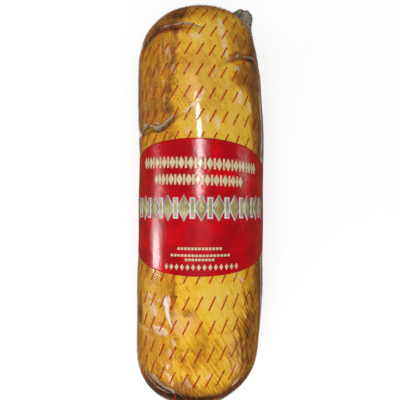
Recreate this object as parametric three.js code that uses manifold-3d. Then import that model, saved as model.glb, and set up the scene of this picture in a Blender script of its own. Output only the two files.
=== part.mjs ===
// A whole smoked provolone of about 4.5 kg, sealed in its clear shrink bag and lying on its side.
//
// The bag is skin-tight on the log-shaped cheese, so bag and cheese are one closed solid. It stands
// off the cheese along the fold down the right side, and at the crumpled seal fin over the sealed
// end, whose right corner sticks out as an ear.
//
// Millimetres. +Z is up, +Y runs along the log towards the sealed end, and +X is to the right.
// The origin is on the surface that the cheese rests on, under the middle of its bounding box.
// Angles are measured round the log from straight up, towards +X.
import * as THREE from "three";
import { mergeVertices } from "three/addons/utils/BufferGeometryUtils.js";
import Module from "manifold-3d";

// ---- Driving dimensions -------------------------------------------------------------------------

const AXIS_HEIGHT = 60; // under the log's radius, as the log has settled flat onto its surface

// The log's round section at places along it: its radius, and how far its middle lies to the right.
const SECTIONS = [
  { along: -196, radius: 60.8, aside: -7.4 },
  { along: -150, radius: 60.8, aside: -3.4 },
  { along: -115, radius: 62.3, aside: -1.7 },
  { along: -80, radius: 62.4, aside: -1.2 },
  { along: -40, radius: 61.9, aside: -0.2 },
  { along: 0, radius: 61.8, aside: 0.2 },
  { along: 40, radius: 61.6, aside: 0.4 },
  { along: 80, radius: 61.7, aside: -0.2 },
  { along: 115, radius: 60.7, aside: -1.5 },
  { along: 150, radius: 59.6, aside: -2.0 },
  { along: 190, radius: 59.6, aside: 0.4 },
];

// Each end is a rounded cap that closes at its pole. More fullness keeps it wide for longer, and
// more squareness makes its nose flatter. Both are 2 for an ellipse.
const MOULDED_END = { reach: 196, length: 60, fullness: 2.64, squareness: 1.86 };
const SEALED_END = { reach: 190, length: 83, fullness: 3.6, squareness: 3 };

// Low swellings that keep the section from being a true circle.
const SWELLINGS = [
  { height: 0.35, turns: 2, waves: 1, phase: 2.2 },
  { height: 0.3, turns: 3, waves: 2, phase: 0.6 },
  { height: 0.2, turns: 5, waves: 5, phase: 1.9 },
];

// Creases where the curd was folded when the cheese was moulded. route holds an angle in degrees
// and a place along the log, and deep is the groove's depth there.
const CREASES = [
  {
    width: 3.4,
    route: [
      { angle: -168, along: 88, deep: 0.2 },
      { angle: -128, along: 62, deep: 1.6 },
      { angle: -92, along: 68, deep: 2.0 },
      { angle: -67, along: 70, deep: 2.4 },
      { angle: -47, along: 72, deep: 2.0 },
      { angle: -34, along: 69, deep: 2.4 },
      { angle: -20, along: 77, deep: 2.2 },
      { angle: -11, along: 82, deep: 1.4 },
      { angle: 5, along: 101, deep: 0.7 },
      { angle: 12, along: 113, deep: 0.9 },
      { angle: 20, along: 123, deep: 1.3 },
      { angle: 39, along: 134, deep: 2.2 },
      { angle: 54, along: 136, deep: 2.4 },
      { angle: 72, along: 139, deep: 1.8 },
      { angle: 110, along: 126, deep: 1.4 },
      { angle: 150, along: 112, deep: 0.2 },
    ],
  },
  {
    width: 4.0,
    route: [
      { angle: -150, along: 124, deep: 0.2 },
      { angle: -112, along: 138, deep: 1.6 },
      { angle: -84, along: 150, deep: 2.0 },
      { angle: -68, along: 157, deep: 2.4 },
      { angle: -57, along: 161, deep: 2.8 },
      { angle: -37, along: 161, deep: 3.0 },
      { angle: -20, along: 160, deep: 2.6 },
      { angle: -6, along: 156, deep: 1.2 },
      { angle: 7, along: 152, deep: 0.2 },
    ],
  },
  {
    width: 4.4,
    route: [
      { angle: 98, along: -62, deep: 0.2 },
      { angle: 126, along: -74, deep: 1.6 },
      { angle: 158, along: -70, deep: 2.2 },
      { angle: 192, along: -88, deep: 2.2 },
      { angle: 224, along: -96, deep: 1.6 },
      { angle: 250, along: -90, deep: 0.2 },
    ],
  },
];

// The fold of loose film down the right side.
const SIDE_FOLD = { angle: 88, halfAngle: 12, height: 2.2, from: -118, to: 165, fade: 42 };

// The seal fin stands on the log from its right side, over the sealed end, to the lower left.
// foot is where it leaves the log and crest is its outer edge, both from the log's axis.
const SEAL_FIN = [
  { foot: [58.5, 114, 2], crest: [61.2, 115, 2], thick: 2.4 },
  { foot: [57.5, 134, 2], crest: [59.4, 135, 2], thick: 3.0 },
  { foot: [54.5, 151, 3], crest: [56.9, 152, 3], thick: 3.6 },
  { foot: [50.5, 164, 3], crest: [54.0, 165, 3], thick: 4.4 },
  { foot: [46.0, 172, 3], crest: [52.0, 176, 4], thick: 6.0 },
  { foot: [42.5, 176, 3], crest: [52.6, 185, 5], thick: 8.0 },
  { foot: [39.0, 179, 3], crest: [51.4, 192, 4], thick: 9.0 },
  { foot: [35.0, 182, 2], crest: [46.6, 196, 2], thick: 9.0 },
  { foot: [29.0, 185, 0], crest: [40.5, 198.7, -2], thick: 7.5 },
  { foot: [21.0, 187, -3], crest: [31.0, 197, -6], thick: 5.6 },
  { foot: [10.0, 189, -7], crest: [13.0, 198, -12], thick: 4.8 },
  { foot: [-4.0, 189, -12], crest: [-5.0, 197, -19], thick: 4.6 },
  { foot: [-17.0, 187, -20], crest: [-19.0, 193, -27], thick: 4.2 },
  { foot: [-28.0, 181, -29], crest: [-30.5, 186, -35], thick: 3.6 },
  { foot: [-34.5, 173, -35], crest: [-36.0, 175, -39], thick: 2.4 },
];
const FIN_ROOT = 5; // how far the fin's foot is sunk into the log
const FIN_CRUMPLES = { sideways: 1.4, rise: 0.25, wrinkle: 0.09, along: 12 };

// How finely the surfaces are divided.
const STEPS_ROUND = 60;
const CAP_RINGS = { moulded: 13, sealed: 24 };
const PLAIN_STEP = 8;
const CREASED_STEP = 3.4;
const CREASED_FROM = 52;
const CREASE_STEPS = 60;
const FIN_STEPS = 52;
const FIN_LEVELS = [0.15, 0.42, 0.68, 0.88, 1]; // as shares of the fin's height

const FILM_OVER_RIND = { color: 0xcf9a35, roughness: 0.28, metalness: 0 };

// ---- The log ------------------------------------------------------------------------------------

const radians = THREE.MathUtils.degToRad;
const smooth = THREE.MathUtils.smoothstep;
const MEAN_RADIUS = 61.8; // turns angles into arc lengths
const GIRTH = 2 * Math.PI * MEAN_RADIUS;

const sections = new THREE.CubicInterpolant(
  SECTIONS.map(({ along }) => along),
  SECTIONS.flatMap(({ radius, aside }) => [radius, aside]),
  2,
);

/** The share of the full radius that is left at a place along the log, down to 0 at each pole. */
function capShare(along) {
  const { reach, length, fullness, squareness } = along < 0 ? MOULDED_END : SEALED_END;
  const into = THREE.MathUtils.clamp((Math.abs(along) - (reach - length)) / length, 0, 1);
  return (1 - into ** fullness) ** (1 / squareness);
}

/** The crease's line as points of arc length round the log, place along it and depth. */
function creaseLine({ width, route }) {
  const stops = route.map(
    ({ angle, along, deep }) => new THREE.Vector3(radians(angle) * MEAN_RADIUS, along, deep),
  );
  return { width, points: new THREE.CatmullRomCurve3(stops).getPoints(CREASE_STEPS) };
}

const creaseLines = CREASES.map(creaseLine);

/** The depth of the creases at an angle and a place along the log. */
function creaseDepth(angle, along) {
  let deepest = 0;
  for (const { width, points } of creaseLines) {
    for (const turn of [-GIRTH, 0, GIRTH]) {
      const arc = angle * MEAN_RADIUS + turn;
      for (let i = 1; i < points.length; i++) {
        const [a, b] = [points[i - 1], points[i]];
        const [dx, dy] = [b.x - a.x, b.y - a.y];
        const nearest = ((arc - a.x) * dx + (along - a.y) * dy) / (dx * dx + dy * dy);
        const t = THREE.MathUtils.clamp(nearest, 0, 1);
        const away = Math.hypot(arc - a.x - t * dx, along - a.y - t * dy);
        const depth = THREE.MathUtils.lerp(a.z, b.z, t) * Math.exp(-((away / width) ** 2));
        deepest = Math.max(deepest, depth);
      }
    }
  }
  return deepest;
}

/** The height of the low swellings. */
function swelling(angle, along) {
  const wave = (2 * Math.PI * along) / (MOULDED_END.reach + SEALED_END.reach);
  let height = 0;
  for (const s of SWELLINGS) height += s.height * Math.sin(s.turns * angle + s.waves * wave + s.phase);
  return height;
}

/** The height of the film's fold down the right side. */
function sideFold(angle, along) {
  const { halfAngle, height, from, to, fade } = SIDE_FOLD;
  const across = (angle - radians(SIDE_FOLD.angle)) / radians(halfAngle);
  const lengthwise = smooth(along, from, from + fade) * (1 - smooth(along, to - fade, to));
  return height * lengthwise * Math.exp(-(across ** 2));
}

/** The point of the log's surface at an angle in (-180, 180] degrees and a place along it. */
function logPoint(angle, along) {
  const [fullRadius, aside] = sections.evaluate(along);
  const share = capShare(along);
  const relief = swelling(angle, along) + sideFold(angle, along) - creaseDepth(angle, along);
  const radius = fullRadius * share + relief * Math.min(1, share / 0.3);
  return new THREE.Vector3(
    aside + radius * Math.sin(angle),
    along,
    Math.max(0, AXIS_HEIGHT + radius * Math.cos(angle)),
  );
}

/** The places along the log that get a ring, which are closer near the poles and the creases. */
function ringPlaces() {
  const places = [];
  for (let i = 1; i < CAP_RINGS.moulded; i++) {
    places.push(-MOULDED_END.reach + MOULDED_END.length * (i / CAP_RINGS.moulded) ** 2);
  }
  const [from, to] = [MOULDED_END.length - MOULDED_END.reach, SEALED_END.reach - SEALED_END.length];
  for (let along = from; along < CREASED_FROM; along += PLAIN_STEP) places.push(along);
  for (let along = CREASED_FROM; along < to; along += CREASED_STEP) places.push(along);
  for (let i = CAP_RINGS.sealed; i >= 1; i--) {
    places.push(SEALED_END.reach - SEALED_END.length * (i / CAP_RINGS.sealed) ** 2);
  }
  return places;
}

/** A closed surface through rings of equally many points, with a point to close each end. */
function skin(first, rings, last) {
  const count = rings[0].length;
  const points = [first, ...rings.flat(), last];
  const faces = [];
  for (let i = 0; i < count; i++) {
    const next = (i + 1) % count;
    faces.push(0, 1 + next, 1 + i);
    for (let r = 0; r + 1 < rings.length; r++) {
      const [a, b] = [1 + r * count, 1 + (r + 1) * count];
      faces.push(a + i, a + next, b + next, a + i, b + next, b + i);
    }
    const end = points.length - 1 - count;
    faces.push(end + i, end + next, points.length - 1);
  }
  return new THREE.BufferGeometry().setFromPoints(points).setIndex(faces);
}

function logGeometry() {
  const round = Array.from({ length: STEPS_ROUND }, (_, i) => Math.PI * ((2 * i) / STEPS_ROUND - 1));
  const rings = ringPlaces().map((along) => round.map((angle) => logPoint(angle, along)));
  const pole = (along) => new THREE.Vector3(sections.evaluate(along)[1], along, AXIS_HEIGHT);
  return skin(pole(-MOULDED_END.reach), rings, pole(SEALED_END.reach));
}

// ---- The seal fin -------------------------------------------------------------------------------

/** A smooth line through points that are given from the log's axis. */
function lineThrough(points) {
  const axis = new THREE.Vector3(0, 0, AXIS_HEIGHT);
  return new THREE.CatmullRomCurve3(points.map((p) => new THREE.Vector3(...p).add(axis)));
}

const finFoot = lineThrough(SEAL_FIN.map(({ foot }) => foot));
const finCrest = lineThrough(SEAL_FIN.map(({ crest }) => crest));
const finThickness = lineThrough(SEAL_FIN.map(({ thick }) => [thick, 0, 0]));

/** The fin's section at a share of its length: a crumpled wedge from its sunk foot to its crest. */
function finRing(share) {
  const foot = finFoot.getPoint(share);
  const up = finCrest.getPoint(share).sub(foot);
  const outward = up.clone().normalize();
  const across = finFoot.getTangent(share).cross(outward).normalize();
  const thick = finThickness.getPoint(share).x;
  const turn = 2 * Math.PI * FIN_CRUMPLES.along * share;
  const loose = Math.min(1, up.length() / 12);
  const height = up.length() + FIN_CRUMPLES.rise * loose * Math.sin(0.7 * turn + 1);
  const lean = FIN_CRUMPLES.sideways * loose * Math.sin(turn);
  const at = (sideways, high) =>
    foot.clone().addScaledVector(outward, high).addScaledVector(across, sideways);
  const flank = (side) =>
    FIN_LEVELS.map((level, i) => {
      const wrinkle = FIN_CRUMPLES.wrinkle * Math.sin(1.9 * turn + 2.4 * i + side);
      const half = 0.5 * Math.sqrt(1 - 0.85 * level ** 3) + wrinkle;
      return at(side * half * thick + lean * level, level * height);
    });
  return [at(-0.55 * thick, -FIN_ROOT), ...flank(-1), ...flank(1).reverse(), at(0.55 * thick, -FIN_ROOT)];
}

function finGeometry() {
  const rings = Array.from({ length: FIN_STEPS + 1 }, (_, i) => finRing(i / FIN_STEPS));
  const middle = (ring) =>
    ring.reduce((sum, point) => sum.add(point), new THREE.Vector3()).divideScalar(ring.length);
  return skin(middle(rings[0]), rings, middle(rings.at(-1)));
}

// ---- Bag and cheese as one solid ----------------------------------------------------------------

const wasm = await Module();
wasm.setup();

function solidOf(geometry) {
  const merged = mergeVertices(geometry, 1e-3);
  return new wasm.Manifold(
    new wasm.Mesh({
      numProp: 3,
      vertProperties: merged.attributes.position.array,
      triVerts: new Uint32Array(merged.index.array),
    }),
  );
}

function geometryOf(solid) {
  const { vertProperties, triVerts } = solid.getMesh();
  const geometry = new THREE.BufferGeometry();
  geometry.setAttribute("position", new THREE.BufferAttribute(vertProperties, 3));
  geometry.setIndex(new THREE.BufferAttribute(triVerts, 1));
  geometry.computeVertexNormals();
  return geometry;
}

const wrapped = geometryOf(solidOf(logGeometry()).add(solidOf(finGeometry())));
const sealedPack = new THREE.Mesh(wrapped, new THREE.MeshStandardMaterial(FILM_OVER_RIND));
sealedPack.name = "sealed_pack";

// The bounding box's middle comes over the origin.
wrapped.computeBoundingBox();
const middle = wrapped.boundingBox.getCenter(new THREE.Vector3());
sealedPack.position.set(-middle.x, -middle.y, 0);

const provolone = new THREE.Group();
provolone.add(sealedPack);

export default provolone;
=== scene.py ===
"""A whole smoked provolone in its printed shrink bag, lying on its side.

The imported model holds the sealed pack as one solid. In its place this script makes what is seen of
it: the smoked cheese, the clear film that is shrunk onto it, the crumpled fin at the sealed end,
and the print, which is a red oval label and rows of slanted dashes.

Metres. +Z is up, +Y runs along the log towards the sealed end and +X is to the right. A place on
the log is an angle round it, in degrees from straight up towards +X, and a length along it. The
print is laid out flat, on the plane of the unrolled film, and Geometry Nodes wrap it onto the film.
"""

import logging
import math
from dataclasses import dataclass, field, replace
from enum import Enum
from typing import TypeAlias

import bpy
import numpy as np
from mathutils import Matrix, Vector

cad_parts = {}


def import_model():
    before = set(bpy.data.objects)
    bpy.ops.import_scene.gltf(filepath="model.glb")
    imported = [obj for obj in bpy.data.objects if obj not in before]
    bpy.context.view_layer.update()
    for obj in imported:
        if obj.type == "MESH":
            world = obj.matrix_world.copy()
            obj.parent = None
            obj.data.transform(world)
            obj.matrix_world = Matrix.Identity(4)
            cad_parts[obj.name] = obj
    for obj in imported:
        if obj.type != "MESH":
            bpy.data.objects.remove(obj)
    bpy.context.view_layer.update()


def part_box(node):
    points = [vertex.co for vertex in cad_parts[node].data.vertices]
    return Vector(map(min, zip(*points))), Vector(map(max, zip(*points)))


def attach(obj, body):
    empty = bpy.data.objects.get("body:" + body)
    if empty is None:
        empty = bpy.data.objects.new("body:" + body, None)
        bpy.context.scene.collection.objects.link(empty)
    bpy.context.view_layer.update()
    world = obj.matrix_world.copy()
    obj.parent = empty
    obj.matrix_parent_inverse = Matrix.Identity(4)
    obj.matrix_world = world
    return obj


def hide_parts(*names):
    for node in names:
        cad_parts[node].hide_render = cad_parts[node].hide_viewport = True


Array: TypeAlias = np.ndarray
Triple: TypeAlias = tuple[float, float, float]
Colour: TypeAlias = tuple[float, float, float]
Stop: TypeAlias = tuple[float, float, float]  # an angle, a length along the log, and a third value
Face: TypeAlias = tuple[int, ...] | list[int]
Setting: TypeAlias = float | int | bool | str | tuple | bpy.types.NodeSocket

log = logging.getLogger("provolone")

MM = 0.001
PACK_NODE = "sealed_pack"
BODY = "root"
FILM_SLOT = "clear_film"
MAP_NAME = "unrolled"  # the UV map that unrolls the log onto a unit square
CORD_FALL = 56.0  # how steeply the net's cords fall to the right, in degrees


# ---- Numbers -------------------------------------------------------------------------------------


def srgb(red: float, green: float, blue: float) -> Colour:
    """Turns a colour as seen on a screen, from 0 to 255, into the linear values that nodes take."""
    def linear(value: float) -> float:
        """One channel, made linear."""
        share = value / 255
        return share / 12.92 if share <= 0.04045 else ((share + 0.055) / 1.055) ** 2.4
    return (linear(red), linear(green), linear(blue))


def smoothstep(value: Array, low: float, high: float) -> Array:
    """Rises smoothly from 0 at low to 1 at high."""
    share = np.clip((value - low) / (high - low), 0.0, 1.0)
    return share * share * (3.0 - 2.0 * share)


def bell(away: Array, width: float | Array) -> Array:
    """Falls smoothly from 1, where away is 0, to almost nothing at twice the width."""
    return np.exp(-((away / width) ** 2))


def turned_from(start: float, angle: Array) -> Array:
    """How far angles lie from a given one, the short way round."""
    return (angle - start + np.pi) % (2 * np.pi) - np.pi


def length_along(x: Array, y: Array) -> Array:
    """The length of a line of points up to each of them."""
    return np.concatenate([[0.0], np.cumsum(np.hypot(np.diff(x), np.diff(y)))])


def smooth_curve(at: Array, knots: Array, values: Array) -> Array:
    """Reads a smooth curve through given values.

    Args:
        at: Where to read the curve.
        knots: Where the values are given, in rising order.
        values: The values at the knots.

    Returns:
        The curve's value at each place, held level past both ends.
    """
    slopes = np.gradient(values, knots)
    left = np.clip(np.searchsorted(knots, at) - 1, 0, len(knots) - 2)
    step = knots[left + 1] - knots[left]
    t = np.clip((at - knots[left]) / step, 0.0, 1.0)
    bend = (t**3 - 2 * t**2 + t) * slopes[left] + (t**3 - t**2) * slopes[left + 1]
    ease = 3 * t**2 - 2 * t**3
    return (1 - ease) * values[left] + ease * values[left + 1] + step * bend


def ripples(points: Array, wavelength: float, seed: int, count: int = 14) -> Array:
    """A smooth random relief in space, made of waves that run in random directions.

    Args:
        points: Where it is read, one point a row.
        wavelength: The waves' usual length.
        seed: Picks the waves.
        count: How many waves are added.

    Returns:
        Values mostly between -1 and 1.
    """
    rng = np.random.default_rng(seed)
    runs = rng.normal(size=(count, 3))
    runs /= np.linalg.norm(runs, axis=1, keepdims=True)
    lengths = wavelength * rng.uniform(0.7, 1.4, count)
    phases = rng.uniform(0.0, 2 * np.pi, count)
    waves = np.sin(points @ (2 * np.pi * runs / lengths[:, None]).T + phases)
    return waves.sum(axis=1) / math.sqrt(2.2 * count)


# ---- The pack's form -----------------------------------------------------------------------------


@dataclass(frozen=True)
class Cap:
    """One rounded end of the log, which closes at its pole."""

    reach: float
    length: float
    fullness: float
    squareness: float

    def share(self, along: Array) -> Array:
        """The share of the full radius that is left at places along the log."""
        into = np.clip((np.abs(along) - (self.reach - self.length)) / self.length, 0.0, 1.0)
        return (1.0 - into**self.fullness) ** (1.0 / self.squareness)


@dataclass(frozen=True)
class Groove:
    """A line on the log, along which something changes.

    Its stops hold an angle in degrees, a place along the log in mm, and a third value, which is a
    depth or half a width in mm, or a strength.
    """

    width: float
    stops: tuple[Stop, ...]

    def line(self, steps: int = 6) -> Array:
        """The line as rows of angle in radians, place along in metres, and third value * MM."""
        stops = np.array(self.stops) * (math.pi / 180, MM, MM)
        knots = np.arange(len(stops), dtype=float)
        at = np.linspace(0, len(stops) - 1, steps * (len(stops) - 1) + 1)
        return np.stack([smooth_curve(at, knots, stops[:, i]) for i in range(3)], axis=1)


CURD_FOLDS = (
    Groove(3.4 * MM, (
        (-168, 88, 0.2), (-128, 62, 1.6), (-92, 68, 2.0), (-67, 70, 2.4), (-47, 72, 2.0),
        (-34, 69, 2.4), (-20, 77, 1.9), (-11, 82, 0.8), (5, 101, 0.3), (12, 113, 0.6),
        (20, 123, 1.3), (39, 134, 2.2), (54, 136, 2.4), (72, 139, 1.8), (110, 126, 1.4),
        (150, 112, 0.2),
    )),
    Groove(4.0 * MM, (
        (-150, 124, 0.2), (-112, 138, 1.6), (-84, 150, 2.0), (-68, 157, 2.4), (-57, 161, 2.8),
        (-37, 161, 3.0), (-20, 160, 2.6), (-6, 156, 1.2), (7, 152, 0.2),
    )),
    Groove(4.4 * MM, (
        (98, -62, 0.2), (126, -74, 1.6), (158, -70, 2.2), (192, -88, 2.2), (224, -96, 1.6),
        (250, -90, 0.2),
    )),
)


@dataclass
class LogForm:
    """The sealed pack's outer form, without its fin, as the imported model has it."""

    axis_height: float = 60 * MM
    mean_radius: float = 61.8 * MM
    sections: tuple[Triple, ...] = (  # along, radius, and how far right the middle lies, in mm
        (-196, 60.8, -7.4), (-150, 60.8, -3.4), (-115, 62.3, -1.7), (-80, 62.4, -1.2),
        (-40, 61.9, -0.2), (0, 61.8, 0.2), (40, 61.6, 0.4), (80, 61.7, -0.2),
        (115, 60.7, -1.5), (150, 59.6, -2.0), (190, 59.6, 0.4),
    )
    moulded: Cap = Cap(196 * MM, 60 * MM, 2.64, 1.86)
    sealed: Cap = Cap(190 * MM, 83 * MM, 3.6, 3.0)
    swellings: tuple[tuple[float, int, int, float], ...] = (  # height, turns, waves and phase
        (0.35 * MM, 2, 1, 2.2), (0.3 * MM, 3, 2, 0.6), (0.2 * MM, 5, 5, 1.9),
    )
    fold_angle: float = math.radians(88)
    fold_half_angle: float = math.radians(12)
    fold_height: float = 2.2 * MM
    fold_from: float = -118 * MM
    fold_to: float = 165 * MM
    fold_fade: float = 42 * MM
    arc_steps: int = 4000
    relief_from: float = 0.3  # the share of the full radius from which any relief is whole
    middle: tuple[float, float] = (0.0, 0.0)  # the log's own zero in the part's frame
    meridian: tuple[Array, Array] = field(init=False)  # places along, and the arc length to each

    def __post_init__(self) -> None:
        """Measures the arc along the top of the log, from pole to pole."""
        swing = np.sin(np.linspace(-np.pi / 2, np.pi / 2, self.arc_steps))
        half = (self.sealed.reach + self.moulded.reach) / 2
        along = (self.sealed.reach - self.moulded.reach) / 2 + half * swing
        radius = self.full_section(along)[0] * self.share(along)
        arc = length_along(along, radius)
        self.meridian = (along, arc - np.interp(0.0, along, arc))

    def full_section(self, along: Array) -> tuple[Array, Array]:
        """The full radius at places along the log, and how far its middle lies to the right."""
        knots, radius, aside = np.array(self.sections).T * MM
        return smooth_curve(along, knots, radius), smooth_curve(along, knots, aside)

    def share(self, along: Array) -> Array:
        """The share of the full radius that is left, down to 0 at each pole."""
        return np.where(along < 0, self.moulded.share(along), self.sealed.share(along))

    def along_at(self, arc: Array) -> Array:
        """The places along the log that lie a given arc length from its zero."""
        return np.interp(arc, self.meridian[1], self.meridian[0])

    def arc_at(self, along: Array) -> Array:
        """The arc length at places along the log."""
        return np.interp(along, *self.meridian)

    def arc_ends(self) -> tuple[float, float]:
        """The arc lengths at the moulded and the sealed pole."""
        return float(self.meridian[1][0]), float(self.meridian[1][-1])

    def unrolled_size(self) -> tuple[float, float]:
        """The width and height of the unrolled film."""
        first, last = self.arc_ends()
        return 2 * math.pi * self.mean_radius, last - first

    def swelling(self, angle: Array, along: Array) -> Array:
        """The height of the low swellings that keep the section from being a true circle."""
        wave = 2 * np.pi * along / (self.moulded.reach + self.sealed.reach)
        return sum(h * np.sin(turns * angle + waves * wave + phase)
                   for h, turns, waves, phase in self.swellings)

    def side_fold(self, angle: Array, along: Array) -> Array:
        """The height of the film's fold down the right side."""
        rise = smoothstep(along, self.fold_from, self.fold_from + self.fold_fade)
        fall = smoothstep(along, self.fold_to - self.fold_fade, self.fold_to)
        across = bell(angle - self.fold_angle, self.fold_half_angle)
        return self.fold_height * rise * (1 - fall) * across

    def nearest(self, line: Array, angle: Array, along: Array) -> tuple[Array, Array]:
        """Finds how places on the log lie to a line on it.

        Args:
            line: The line, as Groove.line gives it.
            angle: The places' angles.
            along: The places along the log.

        Returns:
            The distance to the line, which is negative on its right, and the line's third value at
            the nearest point.
        """
        best = np.full(angle.shape, np.inf)
        side, value = np.ones(angle.shape), np.zeros(angle.shape)
        for a, b in zip(line[:-1], line[1:]):
            x, y = turned_from(a[0], angle) * self.mean_radius, along - a[1]
            dx, dy = (b[0] - a[0]) * self.mean_radius, b[1] - a[1]
            t = np.clip((x * dx + y * dy) / (dx * dx + dy * dy), 0.0, 1.0)
            away = np.hypot(x - t * dx, y - t * dy)
            closer = away < best
            best = np.where(closer, away, best)
            side = np.where(closer, np.sign(dx * y - dy * x), side)
            value = np.where(closer, a[2] + t * (b[2] - a[2]), value)
        return best * np.where(side < 0, -1.0, 1.0), value

    def curd_fold(self, angle: Array, along: Array) -> tuple[Array, Array, Array]:
        """The nearest fold in the curd: the distance to it, its depth there, and its width."""
        best, depth, width = (np.full(angle.shape, v) for v in (np.inf, 0.0, 1.0))
        for groove in CURD_FOLDS:
            away, deep = self.nearest(groove.line(), angle, along)
            closer = np.abs(away) < best
            best = np.where(closer, np.abs(away), best)
            depth, width = np.where(closer, deep, depth), np.where(closer, groove.width, width)
        return best, depth, width

    def points(self, angle: Array, along: Array, relief: Array) -> Array:
        """Places on the log as points in the part's frame, with a relief added to the radius."""
        radius, aside = self.full_section(along)
        share = self.share(along)
        reach = radius * share + relief * np.minimum(1.0, share / self.relief_from)
        x = self.middle[0] + aside + reach * np.sin(angle)
        z = np.maximum(0.0, self.axis_height + reach * np.cos(angle))
        return np.stack([x, self.middle[1] + along, z], axis=-1)

    def set_middle(self) -> None:
        """Finds where the log lies in the part's frame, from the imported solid's box."""
        low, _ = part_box(PACK_NODE)
        left_side = np.radians(np.arange(-120, -60))
        angle, along = np.meshgrid(left_side, np.linspace(-150 * MM, 150 * MM, 200))
        leftmost = self.points(angle, along, self.swelling(angle, along))[..., 0].min()
        self.middle = (low[0] - float(leftmost), low[1] + self.moulded.reach)


@dataclass(frozen=True)
class LogGrid:
    """A net of places over the whole log, evenly spaced along its meridians."""

    form: LogForm
    columns: int
    rows: int
    crowding: float = 0.0  # how much closer the columns stand on top than underneath

    def turns(self) -> Array:
        """The columns' places round the log, from 0 at its underside over the top to 1."""
        share = np.arange(self.columns + 1) / self.columns
        return share + self.crowding * np.sin(2 * np.pi * share) / (2 * np.pi)

    def arcs(self) -> Array:
        """The rows' arc lengths, without the two poles."""
        return np.linspace(*self.form.arc_ends(), self.rows + 2)[1:-1]

    def places(self) -> tuple[Array, Array]:
        """The angle and the place along of each point, as a row for each ring."""
        around = 2 * np.pi * self.turns()[:-1] - np.pi
        angle, along = np.meshgrid(around, self.form.along_at(self.arcs()))
        return angle, along

    def poles(self) -> Array:
        """The points that close the two ends."""
        along = np.array([-self.form.moulded.reach, self.form.sealed.reach])
        return self.form.points(np.zeros(2), along, np.zeros(2))

    @staticmethod
    def outward(rings: Array) -> Array:
        """The unit normals of a net of points."""
        round_way = np.roll(rings, -1, axis=1) - np.roll(rings, 1, axis=1)
        normal = np.cross(round_way, np.gradient(rings, axis=0))
        return normal / np.linalg.norm(normal, axis=-1, keepdims=True)


# ---- Meshes --------------------------------------------------------------------------------------


def put_in_scene(name: str, data: bpy.types.ID) -> bpy.types.Object:
    """Makes an object of some data, and links it to the scene."""
    made = bpy.data.objects.new(name, data)
    bpy.context.scene.collection.objects.link(made)
    return made


def new_object(name: str, vertices: Array, faces: list[Face]) -> bpy.types.Object:
    """Makes a smooth mesh object at the origin, with its place in its vertices."""
    mesh = bpy.data.meshes.new(name)
    mesh.from_pydata(np.asarray(vertices).reshape(-1, 3).tolist(), [], faces)
    mesh.polygons.foreach_set("use_smooth", [True] * len(mesh.polygons))
    mesh.update()
    return put_in_scene(name, mesh)


def with_poles(rings: Array, poles: Array) -> Array:
    """A closed surface's points in their order: its first pole, its rings and its last pole."""
    return np.concatenate([poles[:1], rings.reshape(-1, 3), poles[1:]])


def skin_faces(rows: int, columns: int, start: int = 0) -> list[Face]:
    """The faces of a closed surface: squares between its rings, and a fan at each of its poles.

    Args:
        rows: How many rings it has.
        columns: How many points each ring has.
        start: The number of its first pole. Its rings follow, and then its last pole.

    Returns:
        The faces, in the order of the rings.
    """
    first = np.arange(columns)
    after = (first + 1) % columns
    row = start + 1 + columns * np.arange(rows - 1)[:, None]
    quads = np.stack([row + first, row + after, row + columns + after, row + columns + first], -1)
    top = start + 1 + (rows - 1) * columns
    last = top + columns
    pairs = list(zip(first.tolist(), after.tolist()))
    faces = [(start, start + 1 + b, start + 1 + a) for a, b in pairs]
    faces += quads.reshape(-1, 4).tolist()
    faces += [(top + a, top + b, last) for a, b in pairs]
    return faces


def closed_skin(name: str, rings: Array, poles: Array,
                turns: Array | None = None) -> bpy.types.Object:
    """Makes a closed surface through rings of points, with a point to close each end.

    Args:
        name: The object's name.
        rings: The points, as rows of rings, each ring running from the back over the top.
        poles: The two closing points.
        turns: Where the columns lie on the map, from 0 to 1, if they aren't evenly spaced.

    Returns:
        The object, with the map that unrolls it.
    """
    rows, columns = rings.shape[:2]
    made = new_object(name, with_poles(rings, poles), skin_faces(rows, columns))

    edges = np.arange(columns + 1) / columns if turns is None else turns
    heights = np.arange(1, rows + 1) / (rows + 1)
    left, right = edges[:-1], edges[1:]
    low, high = (np.repeat(h[:, None], columns, axis=1) for h in (heights[:-1], heights[1:]))
    lefts, rights = np.broadcast_to(left, low.shape), np.broadcast_to(right, low.shape)
    square = np.stack([lefts, low, rights, low, rights, high, lefts, high], -1)
    middle, zero, one = (left + right) / 2, np.zeros(columns), np.ones(columns)
    bottom = np.stack([middle, zero, right, zero + heights[0], left, zero + heights[0]], -1)
    lid = np.stack([left, zero + heights[-1], right, zero + heights[-1], middle, one], -1)
    layer = made.data.uv_layers.new(name=MAP_NAME)
    layer.uv.foreach_set("vector", np.concatenate([bottom.ravel(), square.ravel(), lid.ravel()]))
    return made


def store(piece: bpy.types.Object, name: str, values: Array) -> None:
    """Stores a number or a vector for each point of a piece, under a name that nodes read."""
    kind, part = ("FLOAT", "value") if values.ndim == 1 else ("FLOAT_VECTOR", "vector")
    piece.data.attributes.new(name, kind, "POINT").data.foreach_set(part, values.ravel())


def add_values(piece: bpy.types.Object, name: str, values: Array,
               poles: tuple[float, float]) -> None:
    """Stores a value for each point of a closed surface, its two poles among them."""
    store(piece, name, np.concatenate([poles[:1], np.ravel(values), poles[1:]]))


def dress(piece: bpy.types.Object, material: bpy.types.Material, slot: str, *nodes: str) -> None:
    """Gives a finished piece its material and tells the frame what it is.

    Args:
        piece: The piece.
        material: Its finish.
        slot: The record's material slot. Clear film lets all light through to what it covers.
        nodes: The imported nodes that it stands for.
    """
    piece.visible_shadow = slot != FILM_SLOT
    piece.data.materials.clear()
    piece.data.materials.append(material)
    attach(piece, BODY)
    if nodes:
        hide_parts(*nodes)
    log.info("%s: %d faces, slot %s", piece.name, len(piece.data.polygons), slot)


# ---- Node trees ----------------------------------------------------------------------------------


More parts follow.
